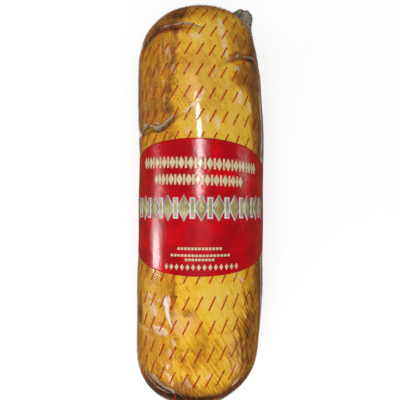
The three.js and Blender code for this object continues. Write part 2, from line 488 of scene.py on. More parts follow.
class Wiring:
    """Adds nodes to a shader or geometry tree and joins them."""

    def __init__(self, tree: bpy.types.NodeTree) -> None:
        """Starts on a tree."""
        self.tree = tree

    def feed(self, socket: bpy.types.NodeSocket, value: Setting) -> None:
        """Joins a socket to another one, or sets its own value."""
        if isinstance(value, bpy.types.NodeSocket):
            self.tree.links.new(value, socket)
        else:
            socket.default_value = value

    def node(self, kind: str, inputs: dict[str | int, Setting] | None = None,
             **settings: object) -> bpy.types.Node:
        """Adds a node.

        Args:
            kind: The node's type.
            inputs: What its input sockets get, by name or number.
            settings: The node's own settings.

        Returns:
            The node.
        """
        made = self.tree.nodes.new(kind)
        for name, value in settings.items():
            setattr(made, name, value)
        for key, value in (inputs or {}).items():
            self.feed(made.inputs[key], value)
        return made

    def math(self, operation: str, *values: Setting, clamp: bool = False) -> bpy.types.NodeSocket:
        """A sum on numbers."""
        inputs = dict(enumerate(values))
        return self.node("ShaderNodeMath", inputs, operation=operation, use_clamp=clamp).outputs[0]

    def vector(self, operation: str, inputs: dict[str | int, Setting]) -> bpy.types.NodeSocket:
        """A sum on vectors, which gives a vector."""
        return self.node("ShaderNodeVectorMath", inputs, operation=operation).outputs["Vector"]

    def ramp(self, value: Setting, low: float, high: float, start: Setting = 0.0,
             end: Setting = 1.0) -> bpy.types.NodeSocket:
        """Runs smoothly from start to end as a value goes from low to high."""
        inputs = {0: value, 1: low, 2: high, 3: start, 4: end}
        return self.node("ShaderNodeMapRange", inputs, interpolation_type="SMOOTHSTEP").outputs[0]

    def blend(self, share: Setting, first: Setting, second: Setting) -> bpy.types.NodeSocket:
        """Mixes two colours."""
        def whole(colour: Setting) -> Setting:
            """A colour with its fourth channel."""
            return (*colour, 1.0) if isinstance(colour, tuple) and len(colour) == 3 else colour
        inputs = {0: share, 6: whole(first), 7: whole(second)}
        return self.node("ShaderNodeMix", inputs, data_type="RGBA").outputs[2]

    def noise(self, at: Setting, size: float, detail: float = 2.0,
              rough: float = 0.5) -> bpy.types.NodeSocket:
        """Soft noise between 0 and 1, whose spots are about as wide as size."""
        inputs = {"Vector": at, "Scale": 1 / size, "Detail": detail, "Roughness": rough}
        return self.node("ShaderNodeTexNoise", inputs).outputs[0]

    def stretched(self, at: Setting, scale: Triple) -> bpy.types.NodeSocket:
        """Coordinates scaled along each axis."""
        return self.node("ShaderNodeMapping", {"Vector": at, "Scale": scale}).outputs[0]

    def fibres(self, plane: tuple[float, float], fall: float, stretch: float, size: float,
               detail: float = 2.0, rough: float = 0.5) -> bpy.types.NodeSocket:
        """Noise on the plane of the unrolled log, drawn out along lines that fall to the right.

        Args:
            plane: The plane's width and height.
            fall: How steeply the lines fall, in degrees.
            stretch: How short a fibre is: 1 is as long as it is wide, and less is longer.
            size: How wide a fibre is.
            detail: The noise's detail.
            rough: The noise's roughness.

        Returns:
            Values between 0 and 1.
        """
        unrolled = self.node("ShaderNodeUVMap", uv_map=MAP_NAME).outputs[0]
        turn = (0.0, 0.0, math.radians(fall - 90))
        inputs = {"Vector": unrolled, "Rotation": turn, "Scale": (*plane, 1.0)}
        upright = self.node("ShaderNodeMapping", inputs).outputs[0]
        return self.noise(self.stretched(upright, (1.0, stretch, 1.0)), size, detail, rough)

    def spread(self, value: Setting, *effects: tuple[Setting, float]) -> bpy.types.NodeSocket:
        """Adds noises to a value, each with its own share and centred on zero."""
        for effect, share in effects:
            centred = self.math("SUBTRACT", effect, 0.5)
            value = self.math("MULTIPLY_ADD", centred, share, value)
        return value

    def tones(self, value: Setting,
              stops: tuple[tuple[float, Colour], ...]) -> bpy.types.NodeSocket:
        """A colour that runs through given tones as a value rises from stop to stop."""
        low, high = stops[0][0], stops[-1][0]
        share = self.node("ShaderNodeMapRange", {0: value, 1: low, 2: high}).outputs[0]
        made = self.node("ShaderNodeValToRGB", {"Fac": share})
        elements = made.color_ramp.elements
        for position, colour in stops[1:-1]:
            elements.new((position - low) / (high - low)).color = (*colour, 1.0)
        elements[0].color = (*stops[0][1], 1.0)
        elements[len(stops) - 1].color = (*stops[-1][1], 1.0)
        return made.outputs["Color"]

    def attribute(self, name: str) -> bpy.types.NodeSocket:
        """A value that the mesh stores for each point, in a shader tree."""
        return self.node("ShaderNodeAttribute", attribute_name=name).outputs["Fac"]

    def stored(self, name: str, kind: str) -> bpy.types.NodeSocket:
        """What the mesh stores for each point, in a geometry tree."""
        named = self.node("GeometryNodeInputNamedAttribute", {"Name": name}, data_type=kind)
        return named.outputs[0]

    def place(self) -> bpy.types.NodeSocket:
        """The point's place on the piece."""
        return self.node("ShaderNodeTexCoord").outputs["Object"]

    def bump(self, height: Setting, distance: float, strength: float = 1.0) -> bpy.types.NodeSocket:
        """A normal that follows a height, which stands as high as distance where it is 1."""
        inputs = {"Height": height, "Distance": distance, "Strength": strength}
        return self.node("ShaderNodeBump", inputs).outputs[0]


SocketList: TypeAlias = tuple[tuple[str, str, Setting | None], ...]  # name, kind and own value


def new_group(name: str, kind: str, inputs: SocketList,
              outputs: SocketList) -> tuple[Wiring, bpy.types.Node, bpy.types.Node]:
    """Starts a node group.

    Args:
        name: The group's name.
        kind: The type of its tree.
        inputs: Its inputs.
        outputs: Its outputs.

    Returns:
        The wiring of its tree, and the nodes that bring its inputs and take its outputs.
    """
    tree = bpy.data.node_groups.new(name, kind)
    for way, sockets in (("INPUT", inputs), ("OUTPUT", outputs)):
        for label, socket_kind, value in sockets:
            made = tree.interface.new_socket(label, in_out=way, socket_type=socket_kind)
            if value is not None:
                made.default_value = value
    wiring = Wiring(tree)
    return wiring, wiring.node("NodeGroupInput"), wiring.node("NodeGroupOutput")


def film_ripples(ripple: float = 11 * MM, crinkle: float = 4.2 * MM, crease: float = 0.12,
                 swell: float = 0.6) -> bpy.types.NodeTree:
    """The fine unevenness of shrunk film: long soft ripples and small sharp crinkles.

    Args:
        ripple: How wide the ripples are.
        crinkle: How wide the film between two crinkles is.
        crease: How wide a crinkle's crease is, as a share of the noise's height.
        swell: How high the ripples stand.

    Returns:
        A shader node group, from a place to a height.
    """
    w, given, result = new_group(
        "film_ripples", "ShaderNodeTree",
        (("Vector", "NodeSocketVector", None), ("Crinkle", "NodeSocketFloat", 0.2)),
        (("Height", "NodeSocketFloat", None),),
    )
    at = given.outputs["Vector"]
    long_waves = w.noise(w.stretched(at, (1.0, 0.35, 1.0)), ripple)
    ridge = w.math("ABSOLUTE", w.math("SUBTRACT", w.noise(at, crinkle, 3.0, 0.55), 0.5))
    sharp = w.math("MULTIPLY", w.ramp(ridge, 0.0, crease, 1.0, 0.0), given.outputs["Crinkle"])
    w.feed(result.inputs["Height"], w.math("MULTIPLY_ADD", long_waves, swell, sharp))
    return w.tree


# ---- Finishes ------------------------------------------------------------------------------------


def new_material(name: str) -> tuple[bpy.types.Material, Wiring, bpy.types.NodeSocket]:
    """Starts a material, and gives its wiring and the socket that takes its surface."""
    material = bpy.data.materials.new(name)
    material.use_nodes = True
    material.node_tree.nodes.clear()
    wiring = Wiring(material.node_tree)
    return material, wiring, wiring.node("ShaderNodeOutputMaterial").inputs["Surface"]


@dataclass(frozen=True)
class SmokedRind:
    """The cheese's rind: straw yellow to dark smoke brown, marked by the cords of its net."""

    plane: tuple[float, float]  # the unrolled log's width and height
    tones: tuple[tuple[float, Colour], ...] = (  # the paler, the less smoked colour and painted shade
        (-0.5, srgb(252, 216, 108)), (0.1, srgb(248, 197, 52)), (0.4, srgb(226, 158, 30)),
        (0.65, srgb(194, 129, 34)), (0.95, srgb(154, 96, 30)), (1.4, srgb(92, 55, 20)),
        (1.9, srgb(50, 30, 13)),
    )
    pit: Colour = srgb(96, 56, 20)
    pit_room: float = 5 * MM  # from one pit to the next
    pit_radius: tuple[float, float] = (0.06, 0.14)  # its bottom and its rim, as shares of that room
    side_fall: float = 84.0  # how steeply the streaks on the smoked side fall, in degrees
    side_wander: float = 20 * MM  # how far that side's edge strays
    side_blur: float = 5 * MM  # half the width over which it fades
    cord_smoke: float = 0.42  # how much darker smoke made the cords' marks
    cord_sink: float = -0.5  # and how deep they lie, in heights of the relief
    fibre_contrast: float = 1.7
    cloud_size: float = 28 * MM
    mottle_size: float = 6 * MM
    grain_size: float = 1.5 * MM
    roughness: float = 0.55
    gloss: float = 0.06
    relief: float = 0.5 * MM

    def pits(self, w: Wiring, at: bpy.types.NodeSocket) -> bpy.types.NodeSocket:
        """How far places lie inside one of the few small dark pits, from 0 to 1."""
        dots = w.node("ShaderNodeTexVoronoi", {"Vector": at, "Scale": 1 / self.pit_room})
        few = w.ramp(w.noise(at, 12 * MM, 0.0), 0.54, 0.66, 0.0, 0.9)
        return w.math("MULTIPLY", w.ramp(dots.outputs["Distance"], *self.pit_radius, 1.0, 0.0), few)

    def build(self) -> bpy.types.Material:
        """Builds the material.

        Returns:
            A material that reads the values "smoke_and_shade", "amber", "amber_side", "cords" and
            "fibres". The first holds smoked colour and painted shade together.
        """
        material, w, surface = new_material("smoked_rind")
        at = w.place()
        cords = w.attribute("cords")
        slanting = w.fibres(self.plane, CORD_FALL, 0.14, 2.4 * MM, 3.0, 0.6)
        lengthwise = w.fibres(self.plane, self.side_fall, 0.1, 2.8 * MM, 3.0, 0.6)
        cloud = w.noise(at, self.cloud_size, 3.0)
        mottle = w.noise(at, self.mottle_size, 4.0, 0.62)
        grain = w.noise(at, self.grain_size, 3.0, 0.65)

        side = w.spread(w.attribute("amber_side"), (mottle, self.side_wander))
        on_side = w.ramp(side, -self.side_blur, self.side_blur)
        amber = w.math("MULTIPLY", on_side, w.attribute("amber"))
        fibre = w.math("MULTIPLY_ADD", w.math("SUBTRACT", lengthwise, slanting), on_side, slanting)
        fibre = w.math("MULTIPLY", w.math("SUBTRACT", fibre, 0.5), w.attribute("fibres"))
        # Smoked colour and painted shade together, as the cheese stores them.
        smoke_and_shade = w.math("ADD", w.attribute("smoke_and_shade"), amber)
        smoke_and_shade = w.math("MULTIPLY_ADD", cords, self.cord_smoke, smoke_and_shade)
        smoke_and_shade = w.spread(smoke_and_shade, (cloud, 0.8), (mottle, 0.8), (grain, 0.5))
        smoke_and_shade = w.math("MULTIPLY_ADD", fibre, self.fibre_contrast, smoke_and_shade)

        height = w.math("MULTIPLY_ADD", cords, self.cord_sink, fibre)
        height = w.spread(height, (mottle, 0.8), (grain, 0.6))
        shader = w.node("ShaderNodeBsdfPrincipled", {
            "Base Color": w.blend(self.pits(w, at), w.tones(smoke_and_shade, self.tones), self.pit),
            "Roughness": self.roughness,
            "Specular IOR Level": self.gloss,
            "Normal": w.bump(height, self.relief, 0.9),
        })
        w.feed(surface, shader.outputs[0])
        return material


@dataclass(frozen=True)
class ClearFilm:
    """Glossy clear film, milky where it stands off or is crumpled together."""

    ripples: bpy.types.NodeTree
    plane: tuple[float, float]  # the unrolled log's width and height
    name: str = "clear_film"
    milk: Colour = srgb(180, 150, 112)
    dusk: Colour = srgb(102, 74, 46)
    bloom_and_sheen: Colour = srgb(238, 200, 134)
    densest: float = 0.85  # how much the milkiest film hides
    crinkle: float = 0.12
    bump: float = 0.05 * MM
    cling: float = 0.15  # how much of the rind's grain shows through in its gloss
    roughness: float = 0.13
    refraction: float = 1.45
    streak_size: float = 3.6 * MM
    cloud_size: float = 5 * MM
    ink: Colour = srgb(110, 22, 24)
    specks: float = 0.0  # how much of it carries crumpled print
    speck_size: float = 3 * MM

    def build(self) -> bpy.types.Material:
        """Builds the material.

        Returns:
            A material that reads the values "veil", from 0 for clear to 1 for milky, and "pale",
            the share of the veil that is pale: loose film, and over the lower left painted
                reflection too.
        """
        material, w, surface = new_material(self.name)
        at = w.place()
        inputs = {"Vector": at, "Crinkle": self.crinkle}
        fine = w.node("ShaderNodeGroup", inputs, node_tree=self.ripples).outputs["Height"]
        fibre = w.fibres(self.plane, CORD_FALL, 0.2, 2.6 * MM)
        normal = w.bump(w.spread(fine, (fibre, self.cling)), self.bump)
        streaks = w.noise(w.stretched(at, (1.0, 0.1, 1.0)), self.streak_size, 3.0)
        cloud = w.noise(at, self.cloud_size, 3.0)
        uneven = w.spread(1.0, (streaks, 1.6), (cloud, 1.2))
        veil = w.math("MULTIPLY", w.attribute("veil"), uneven)
        lit = w.spread(0.0, (cloud, 0.6), (streaks, 1.0))
        colour = w.blend(w.ramp(lit, -0.2, 0.2), self.dusk, self.milk)
        colour = w.blend(w.attribute("pale"), colour, self.bloom_and_sheen)
        if self.specks:
            spots = w.noise(w.stretched(at, (1.0, 1.0, 2.5)), self.speck_size, 1.0)
            share = w.ramp(spots, 0.68 - self.specks, 0.7 - self.specks)
            colour = w.blend(share, colour, self.ink)
        milky = w.node("ShaderNodeBsdfPrincipled", {
            "Base Color": colour,
            "Roughness": 0.5,
            "Specular IOR Level": 0.1,
            "Alpha": w.ramp(veil, 0.0, 1.0, 0.0, self.densest),
            "Normal": normal,
        })
        shine = w.node("ShaderNodeBsdfAnisotropic", {
            "Color": (1.0, 1.0, 1.0, 1.0), "Roughness": self.roughness, "Normal": normal,
        })
        front = w.math("SUBTRACT", 1.0, w.node("ShaderNodeNewGeometry").outputs["Backfacing"])
        mirrored = w.node("ShaderNodeFresnel", {"IOR": self.refraction, "Normal": normal})
        gloss = w.math("MULTIPLY", mirrored.outputs[0], front)
        mixed = w.node("ShaderNodeMixShader", {0: gloss, 1: milky.outputs[0], 2: shine.outputs[0]})
        w.feed(surface, mixed.outputs[0])
        return material


@dataclass(frozen=True)
class TrappedLayer:
    """Film that is folded on itself, the pale patch of air that is caught under it, or a painted
    glint. Its colour runs from painted shade on its lower edge to painted light on its upper edge.
    """

    name: str
    # The light colour is painted light on a layer's upper edge, and the dark colour is painted shade
    # on its lower edge.
    light: Colour
    dark: Colour
    alpha: float
    softness: float = 0.5  # how far in from its edges it fades
    cloud_size: float = 4 * MM
    fine_size: float = 1.2 * MM

    def build(self) -> bpy.types.Material:
        """Builds the material.

        Returns:
            A material that reads the values "edge", from -1 below to 1 above, "core", from 0 at the
            edges to 1 in the middle, and "strength".
        """
        material, w, surface = new_material(self.name)
        at = w.place()
        cloud, fine = w.noise(at, self.cloud_size, 3.0), w.noise(at, self.fine_size)
        # Painted light and shade across the layer, with noise.
        lit = w.spread(w.attribute("edge"), (cloud, 3.0), (fine, 1.5))
        solid = w.spread(w.attribute("core"), (cloud, 0.7), (fine, 0.3))
        whole = w.math("MULTIPLY", w.attribute("strength"), w.spread(self.alpha, (cloud, 0.4)))
        shader = w.node("ShaderNodeBsdfPrincipled", {
            "Base Color": w.blend(w.ramp(lit, -1.1, 1.1), self.dark, self.light),
            "Roughness": 0.5,
            "Specular IOR Level": 0.1,
            "Alpha": w.math("MULTIPLY", whole, w.ramp(solid, 0.0, self.softness), clamp=True),
        })
        w.feed(surface, shader.outputs[0])
        return material


@dataclass(frozen=True)
class Ink:
    """Ink on the film, as glossy as the film itself."""

    ripples: bpy.types.NodeTree
    name: str
    colour: Colour
    second: Colour
    cloud_size: float = 30 * MM
    share: float = 0.5  # how much of the second colour it takes where that is strongest
    roughness: float = 0.16
    bump: float = 0.28 * MM
    crinkle: float = 0.12

    def build(self) -> bpy.types.Material:
        """Builds the material, which runs softly between its two colours."""
        material, w, surface = new_material(self.name)
        at = w.place()
        inputs = {"Vector": at, "Crinkle": self.crinkle}
        fine = w.node("ShaderNodeGroup", inputs, node_tree=self.ripples).outputs["Height"]
        second = w.ramp(w.noise(at, self.cloud_size), 0.35, 0.75, 0.0, self.share)
        shader = w.node("ShaderNodeBsdfPrincipled", {
            "Base Color": w.blend(second, self.colour, self.second),
            "Roughness": self.roughness,
            "Normal": w.bump(fine, self.bump),
        })
        w.feed(surface, shader.outputs[0])
        return material


# ---- Wrapping flat things onto the film ----------------------------------------------------------


GEOMETRY = ("Geometry", "NodeSocketGeometry", None)
FILM = ("Film", "NodeSocketObject", None)
LIFT = ("Lift", "NodeSocketFloat", 0.1 * MM)
INK = ("Ink", "NodeSocketMaterial", None)


def wrap_on_film(form: LogForm) -> bpy.types.NodeTree:
    """A Geometry Nodes group that wraps flat things onto the film, by its map."""
    first, last = form.arc_ends()
    w, given, result = new_group(
        "wrap_on_film", "GeometryNodeTree",
        (GEOMETRY, FILM, ("Girth", "NodeSocketFloat", 2 * math.pi * form.mean_radius),
         ("First Arc", "NodeSocketFloat", first), ("Last Arc", "NodeSocketFloat", last), LIFT),
        (GEOMETRY,),
    )
    flat = w.node("ShaderNodeSeparateXYZ", {0: w.node("GeometryNodeInputPosition").outputs[0]})
    turns = w.math("ADD", w.math("DIVIDE", flat.outputs["X"], given.outputs["Girth"]), 0.5)
    u = w.math("FRACT", turns)  # what leaves the map at the back comes in on its other side
    length = w.math("SUBTRACT", given.outputs["Last Arc"], given.outputs["First Arc"])
    v = w.math("DIVIDE", w.math("SUBTRACT", flat.outputs["Y"], given.outputs["First Arc"]), length)
    spot = w.node("ShaderNodeCombineXYZ", {"X": u, "Y": v}).outputs[0]
    film = w.node("GeometryNodeObjectInfo", {"Object": given.outputs["Film"]}).outputs["Geometry"]
    the_map = w.stored(MAP_NAME, "FLOAT_VECTOR")

    def sampled(field_kind: str) -> bpy.types.NodeSocket:
        """What the film has at the spot."""
        value = w.node(field_kind).outputs[0]
        inputs = {"Mesh": film, "Value": value, "UV Map": the_map, "Sample UV": spot}
        sample = w.node("GeometryNodeSampleUVSurface", inputs, data_type="FLOAT_VECTOR")
        return sample.outputs["Value"]

    height = w.math("ADD", flat.outputs["Z"], given.outputs["Lift"])
    up = w.vector("SCALE", {0: sampled("GeometryNodeInputNormal"), "Scale": height})
    place = w.vector("ADD", {0: sampled("GeometryNodeInputPosition"), 1: up})
    inputs = {"Geometry": given.outputs["Geometry"], "Position": place}
    moved = w.node("GeometryNodeSetPosition", inputs)
    smooth = w.node("GeometryNodeSetShadeSmooth", {"Geometry": moved.outputs[0]})
    w.feed(result.inputs[0], smooth.outputs[0])
    return w.tree


def sheet_on_film(wrap: bpy.types.NodeTree) -> bpy.types.NodeTree:
    """A Geometry Nodes tree that wraps one flat sheet onto the film, or just under it."""
    w, given, result = new_group(
        "sheet_on_film", "GeometryNodeTree", (GEOMETRY, FILM, LIFT, INK), (GEOMETRY,),
    )
    wrapped = w.node("GeometryNodeGroup", node_tree=wrap)
    for name in ("Geometry", "Film", "Lift"):
        w.feed(wrapped.inputs[name], given.outputs[name])
    real = w.node("GeometryNodeRealizeInstances", {0: wrapped.outputs[0]})
    inputs = {"Geometry": real.outputs[0], "Material": given.outputs["Ink"]}
    w.feed(result.inputs[0], w.node("GeometryNodeSetMaterial", inputs).outputs[0])
    return w.tree


def grown(name: str, seedling: bpy.types.Object, tree: bpy.types.NodeTree,
          inputs: dict[str, object]) -> bpy.types.Object:
    """Runs a Geometry Nodes tree on an object and keeps the result as a plain mesh.

    Args:
        name: The new object's name.
        seedling: What the tree starts from, which is removed.
        tree: The tree.
        inputs: The tree's inputs by name.

    Returns:
        The new object.
    """
    modifier = seedling.modifiers.new("grow", "NODES")
    modifier.node_group = tree
    sockets = {i.name: i.identifier for i in tree.interface.items_tree if i.in_out == "INPUT"}
    for label, value in inputs.items():
        modifier[sockets[label]] = value
    bpy.context.view_layer.update()
    evaluated = seedling.evaluated_get(bpy.context.evaluated_depsgraph_get())
    mesh = bpy.data.meshes.new_from_object(evaluated)
    mesh.name = name
    made = put_in_scene(name, mesh)
    seedling.modifiers.clear()
    bpy.data.objects.remove(seedling)
    return made


# ---- The cheese ----------------------------------------------------------------------------------


@dataclass(frozen=True)
class Patch:
    """A soft oval area on the log, sized in mm and turned in degrees from lengthwise."""

    angle: float
    along: float
    across: float
    lengthwise: float
    turn: float = 0.0
    strength: float = 1.0

    def field(self, form: LogForm, angle: Array, along: Array) -> Array:
        """How far inside the patch places lie: its strength in the middle and 0 at its edge."""
        turned = turned_from(math.radians(self.angle), angle)
        x = turned * form.full_section(along)[0] * form.share(along) / MM
        y = (form.arc_at(along) - form.arc_at(np.array(self.along * MM))) / MM
        lean = math.radians(self.turn)
        u = x * math.cos(lean) + y * math.sin(lean)
        v = y * math.cos(lean) - x * math.sin(lean)
        inside = 1 - np.hypot(u / self.across, v / self.lengthwise)
        return self.strength * smoothstep(inside, 0.0, 1.0)


def patches(*rows: tuple[float, ...]) -> tuple[Patch, ...]:
    """Soft areas, one for each row of a patch's values."""
    return tuple(Patch(*row) for row in rows)


@dataclass
class Cheese:
    """The smoked cheese inside the film."""

    form: LogForm
    columns: int = 296
    rows: int = 332
    crowding: float = 0.3
    gap: float = 0.35 * MM  # the least room between film and rind
    lumps: float = 0.45 * MM
    lump_length: float = 26 * MM
    notch: float = 1.0  # how much deeper than the film's dip a fold is cut
    notch_width: float = 1.9 * MM
    net_cords: int = 100  # cords of each slant round the log
    cord_pitch: float = 5.7 * MM  # from cord to cord, along the log
    cord_depth: float = 0.26 * MM
    cord_width: float = 0.2  # of the room between two cords
    press: float = 0.22  # how deep they are pressed in, from 0 to 1, outside the net's patches
    press_varies: float = 0.26
    crossing: float = 0.5  # how deep the cords of the other slant are, as a share
    crossing_varies: float = 0.4
    deepest: float = 1.3
    amber_line: Groove = Groove(0.0, (
        (-14, 186, 0.5), (-19, 150, 0.45), (-21, 107, 0.55), (-26, 90, 0.6), (-24, 62, 0.45),
        (-20.5, -62, 0.36), (-20.5, -90, 0.36), (-18, -115, 0.4), (-15, -126, 0.42),
        (-9, -147, 0.36), (0, -166, 0.25), (3, -184, 0.25),
    ))
    amber_fade: tuple[float, float] = (50 * MM, 120 * MM)  # how far from its line it fades out
    # Mostly smoked colour. The patch at 44 degrees and 124 mm is painted shadow just under a fold,
    # and the two long patches at 66 degrees darken the right side from end to end, partly as painted
    # shade.
    smoke_and_shade: tuple[Patch, ...] = patches(
        (-17, 169, 18, 13, 0, 0.5), (-36, 168, 26, 12, 0, 0.4), (-56, 158, 20, 18, 0, 0.4),
        (-46, 128, 18, 46, 0, 0.22), (62, 142, 24, 44, 0, 0.8), (40, 150, 26, 30, 0, 0.3),
        (42, 112, 20, 17, 0, 0.8), (56, 106, 16, 22, 0, 0.65), (44, 124, 18, 8, 0, 0.6),
        (66, 60, 22, 120, 0, 0.85), (54, 80, 9, 34, 0, 0.4), (-24, 82, 8, 10, 0, 0.45),
        (-22, 66, 8, 8, 0, 0.4), (-63, -102, 9, 16, 0, 0.9), (66, -60, 36, 120, 0, 0.85),
        (48, -118, 20, 44, 0, 0.6), (58, -142, 16, 26, 0, 0.4), (50, -164, 28, 30, 0, 0.9),
        (-24, -171, 24, 11, 0, 0.75), (-42, -166, 28, 18, 0, 0.6), (6, -173, 44, 8, 0, 1.1),
        (3, -118, 20, 36, 0, 0.5), (30, -130, 16, 24, 0, 0.25), (-3, -140, 10, 22, 0, 0.3),
        (14, 168, 46, 16, 0, 0.2), (-8, -94, 13, 7, 0, 0.3), (0, 95, 60, 100, 0, 0.09),
        (10, -74, 26, 28, 0, -0.25), (0, -148, 18, 16, 0, -0.2), (-1, 145, 10, 7, 0, -0.4),
        (14, 70, 4.5, 9, -8, -0.5), (36, 96, 6, 11, 0, -0.5), (48, 88, 5, 9, -20, -0.5),
        (26, 74, 6, 26, 0, -0.25), (-48, -88, 14, 40, 0, -0.2),
    )
    smoke_and_shadow_streaks: tuple[Groove, ...] = (
        # Painted shadow just under the fold across the top near the sealed end.
        Groove(2.6 * MM, (
            (-62, 146, 0.6), (-55, 150.5, 0.7), (-46, 155, 0.7), (-36, 156.5, 0.7),
            (-25, 155.5, 0.8), (-17, 154, 0.7), (-9, 154, 0.2),
        )),
        Groove(3.6 * MM, (
            (-19, 155, 0.4), (-20.5, 138, 0.35), (-21.5, 126, 0.3), (-22.5, 116, 0.3),
            (-26, 92, 0.35), (-24.5, 84, 0.5),
        )),
        # A dark stain along the seam of the smoked side, which beside the tuck in the film is also
        # painted shadow of the tuck.
        Groove(2.2 * MM, (
            (-20.5, -62, 0.3), (-20.5, -77, 0.45), (-21, -85, 0.5), (-22.5, -94, 0.4),
            (-22, -103, 0.35), (-18, -115, 0.35), (-13.5, -126, 0.4), (-8, -144, 0.25),
            (0, -160, 0.05),
        )),
        Groove(1.2 * MM, ((36, -66, 0.3), (46, -90, 0.7))),
        Groove(1.2 * MM, ((45, -66, 0.3), (54, -92, 0.7))),
        Groove(1.2 * MM, ((30, -96, 0.2), (40, -122, 0.5))),
        Groove(1.2 * MM, ((37, -96, 0.3), (47, -120, 0.6))),
        Groove(1.2 * MM, ((32, -120, 0.4), (37, -136, 0.8))),
        Groove(1.3 * MM, ((37, -116, 0.4), (43, -142, 0.8))),
        Groove(1.2 * MM, ((26, -128, 0.2), (33, -150, 0.4))),
        Groove(1.2 * MM, ((46, -126, 0.3), (52, -148, 0.7))),
        # These two are painted shadows just under the long fold across the log, on its left and on
        # its right.
        Groove(1.6 * MM, ((-64, 64, 0.5), (-45, 66, 0.7), (-34, 65, 0.7), (-22, 74, 0.5))),
        Groove(1.6 * MM, ((30, 125, 0.4), (38, 130, 0.6), (54, 133, 0.7), (70, 136, 0.7))),
    )
    net: tuple[Patch, ...] = patches(
        (-14, 94, 16, 20, 0, 1.0), (-5, 174, 54, 18, 0, 0.9), (32, 150, 26, 28, 0, 0.8),
        (48, 110, 22, 36, 0, 0.8), (44, -110, 18, 64, 0, 1.1), (5, -160, 44, 22, 0, 1.1),
    )
    fibres: tuple[Patch, ...] = patches(
        (36, -110, 34, 90, 0, 1.0), (0, -150, 50, 30, 0, 0.5), (40, 150, 30, 30, 0, 0.5),
    )
    rim: float = 0.7  # how much darker the rind is at its ends
    sealed_rim: tuple[float, float] = (22 * MM, 4 * MM)  # from there to there off the pole
    moulded_rim: tuple[float, float] = (46 * MM, 20 * MM)
    sides: float = 0.35  # painted shade: how much darker the rind is from its sides down to its back
    side_turns: tuple[float, float] = (math.radians(60), math.radians(100))
    pole_shares: tuple[float, float] = (0.3, 0.85)  # of the full radius, where marks fade out
    least_fibres: float = 0.6
    painted_fold_shade: float = 0.4  # painted shade: how much darker a fold is where it is as deep as the next value
    deep_fold: float = 2.4
    fold_blur: float = 3 * MM

    def net_marks(self, angle: Array, along: Array, points: Array) -> Array:
        """How deep the net's cords have marked places on the rind, from 0 to 1."""
        flat = points.reshape(-1, 3)

        def wander(length: float, seed: int) -> Array:
            """Soft noise over the log."""
            return ripples(flat, length, seed).reshape(angle.shape)

        turn = self.net_cords * angle / (2 * np.pi)
        climb = self.form.arc_at(along) / self.cord_pitch
        press = self.press + self.press_varies * wander(38 * MM, 21)
        press = press + self.sum_of(self.net, angle, along)
        press = press * self.off_pole(along)
        cross = press * (self.crossing + self.crossing_varies * wander(45 * MM, 23))
        marks = np.zeros(angle.shape)
        for way, depth, seed in ((1, press, 31), (-1, cross, 32)):
            line = way * turn + climb + 0.35 * wander(30 * MM, seed)
            line = line + 0.12 * wander(9 * MM, seed + 5)
            away = np.abs(line - np.round(line))
            mark = np.clip(depth, 0.05, self.deepest) * bell(away, self.cord_width)
            marks = np.maximum(marks, mark)
        return marks

    def sum_of(self, areas: tuple[Patch, ...], angle: Array, along: Array) -> Array:
        """What patches come to together at places on the rind."""
        return sum(patch.field(self.form, angle, along) for patch in areas)

    def off_pole(self, along: Array) -> Array:
        """Falls from 1 to 0 near the two poles, where everything that runs along the log meets."""
        return smoothstep(self.form.share(along), *self.pole_shares)

    def smoke_and_painted_shade(self, angle: Array, along: Array) -> Array:
        """How dark places on the rind are: 0 is straw yellow and 1 is brown. Most of it is smoked
        colour; the rind is also darker at its ends, and painted shade darkens it down its sides to
        its back and in painted shadows just under some folds.
        """
        sealed = smoothstep(along, *(self.form.sealed.reach - away for away in self.sealed_rim))
        moulded = smoothstep(-along, *(self.form.moulded.reach - away for away in self.moulded_rim))
        # Painted shade: the rind darkens from its sides down to its back.
        down = smoothstep(np.abs(angle), *self.side_turns)
        smoke_and_shade = self.rim * np.maximum(sealed, moulded) + self.sides * down
        smoke_and_shade = smoke_and_shade + self.sum_of(self.smoke_and_shade, angle, along)
        for streak in self.smoke_and_shadow_streaks:
            away, dark = self.form.nearest(streak.line(3), angle, along)
            smoke_and_shade = smoke_and_shade + dark / MM * bell(away, streak.width)
        return smoke_and_shade

    def build(self, material: bpy.types.Material) -> bpy.types.Object:
        """Builds and dresses the cheese."""
        grid = LogGrid(self.form, self.columns, self.rows, self.crowding)
        angle, along = grid.places()
        away, deep, width = self.form.curd_fold(angle, along)
        dip = deep * bell(away, width)
        cut = self.notch * deep * bell(away, self.notch_width)
        outer = self.form.points(angle, along, self.form.swelling(angle, along) - dip)
        marks = self.net_marks(angle, along, outer)
        lump = ripples(outer.reshape(-1, 3), self.lump_length, seed=3).reshape(angle.shape)
        hollow = self.lumps * (1 - np.clip(lump, -1, 1)) / 2
        sunk = self.gap + hollow + cut + self.cord_depth * marks
        rings = outer - LogGrid.outward(outer) * sunk[..., None]
        rings[..., 2] = np.maximum(rings[..., 2], self.gap)
        poles = grid.poles() + np.array([[0, self.gap, 0], [0, -self.gap, 0]])
        made = closed_skin("cheese", rings, poles, grid.turns())

        side, amber = self.form.nearest(self.amber_line.line(), angle, along)
        amber = amber * (1 - smoothstep(-side, *self.amber_fade)) * self.off_pole(along)
        # Painted shade in the folds of the curd: the deeper the fold, the darker.
        fold_shade = self.painted_fold_shade * deep / MM / self.deep_fold * bell(away, self.fold_blur)
        fibres = self.least_fibres + self.sum_of(self.fibres, angle, along)
        values = {
            "smoke_and_shade": self.smoke_and_painted_shade(angle, along) + fold_shade,
            "amber_side": -side,
            "amber": amber / MM,
            "cords": marks,
            "fibres": self.off_pole(along) * fibres,
        }
        for name, value in values.items():
            add_values(made, name, value, (float(value[0].mean()), float(value[-1].mean())))
        dress(made, material, "smoked_rind", PACK_NODE)
        return made


# ---- The film ------------------------------------------------------------------------------------


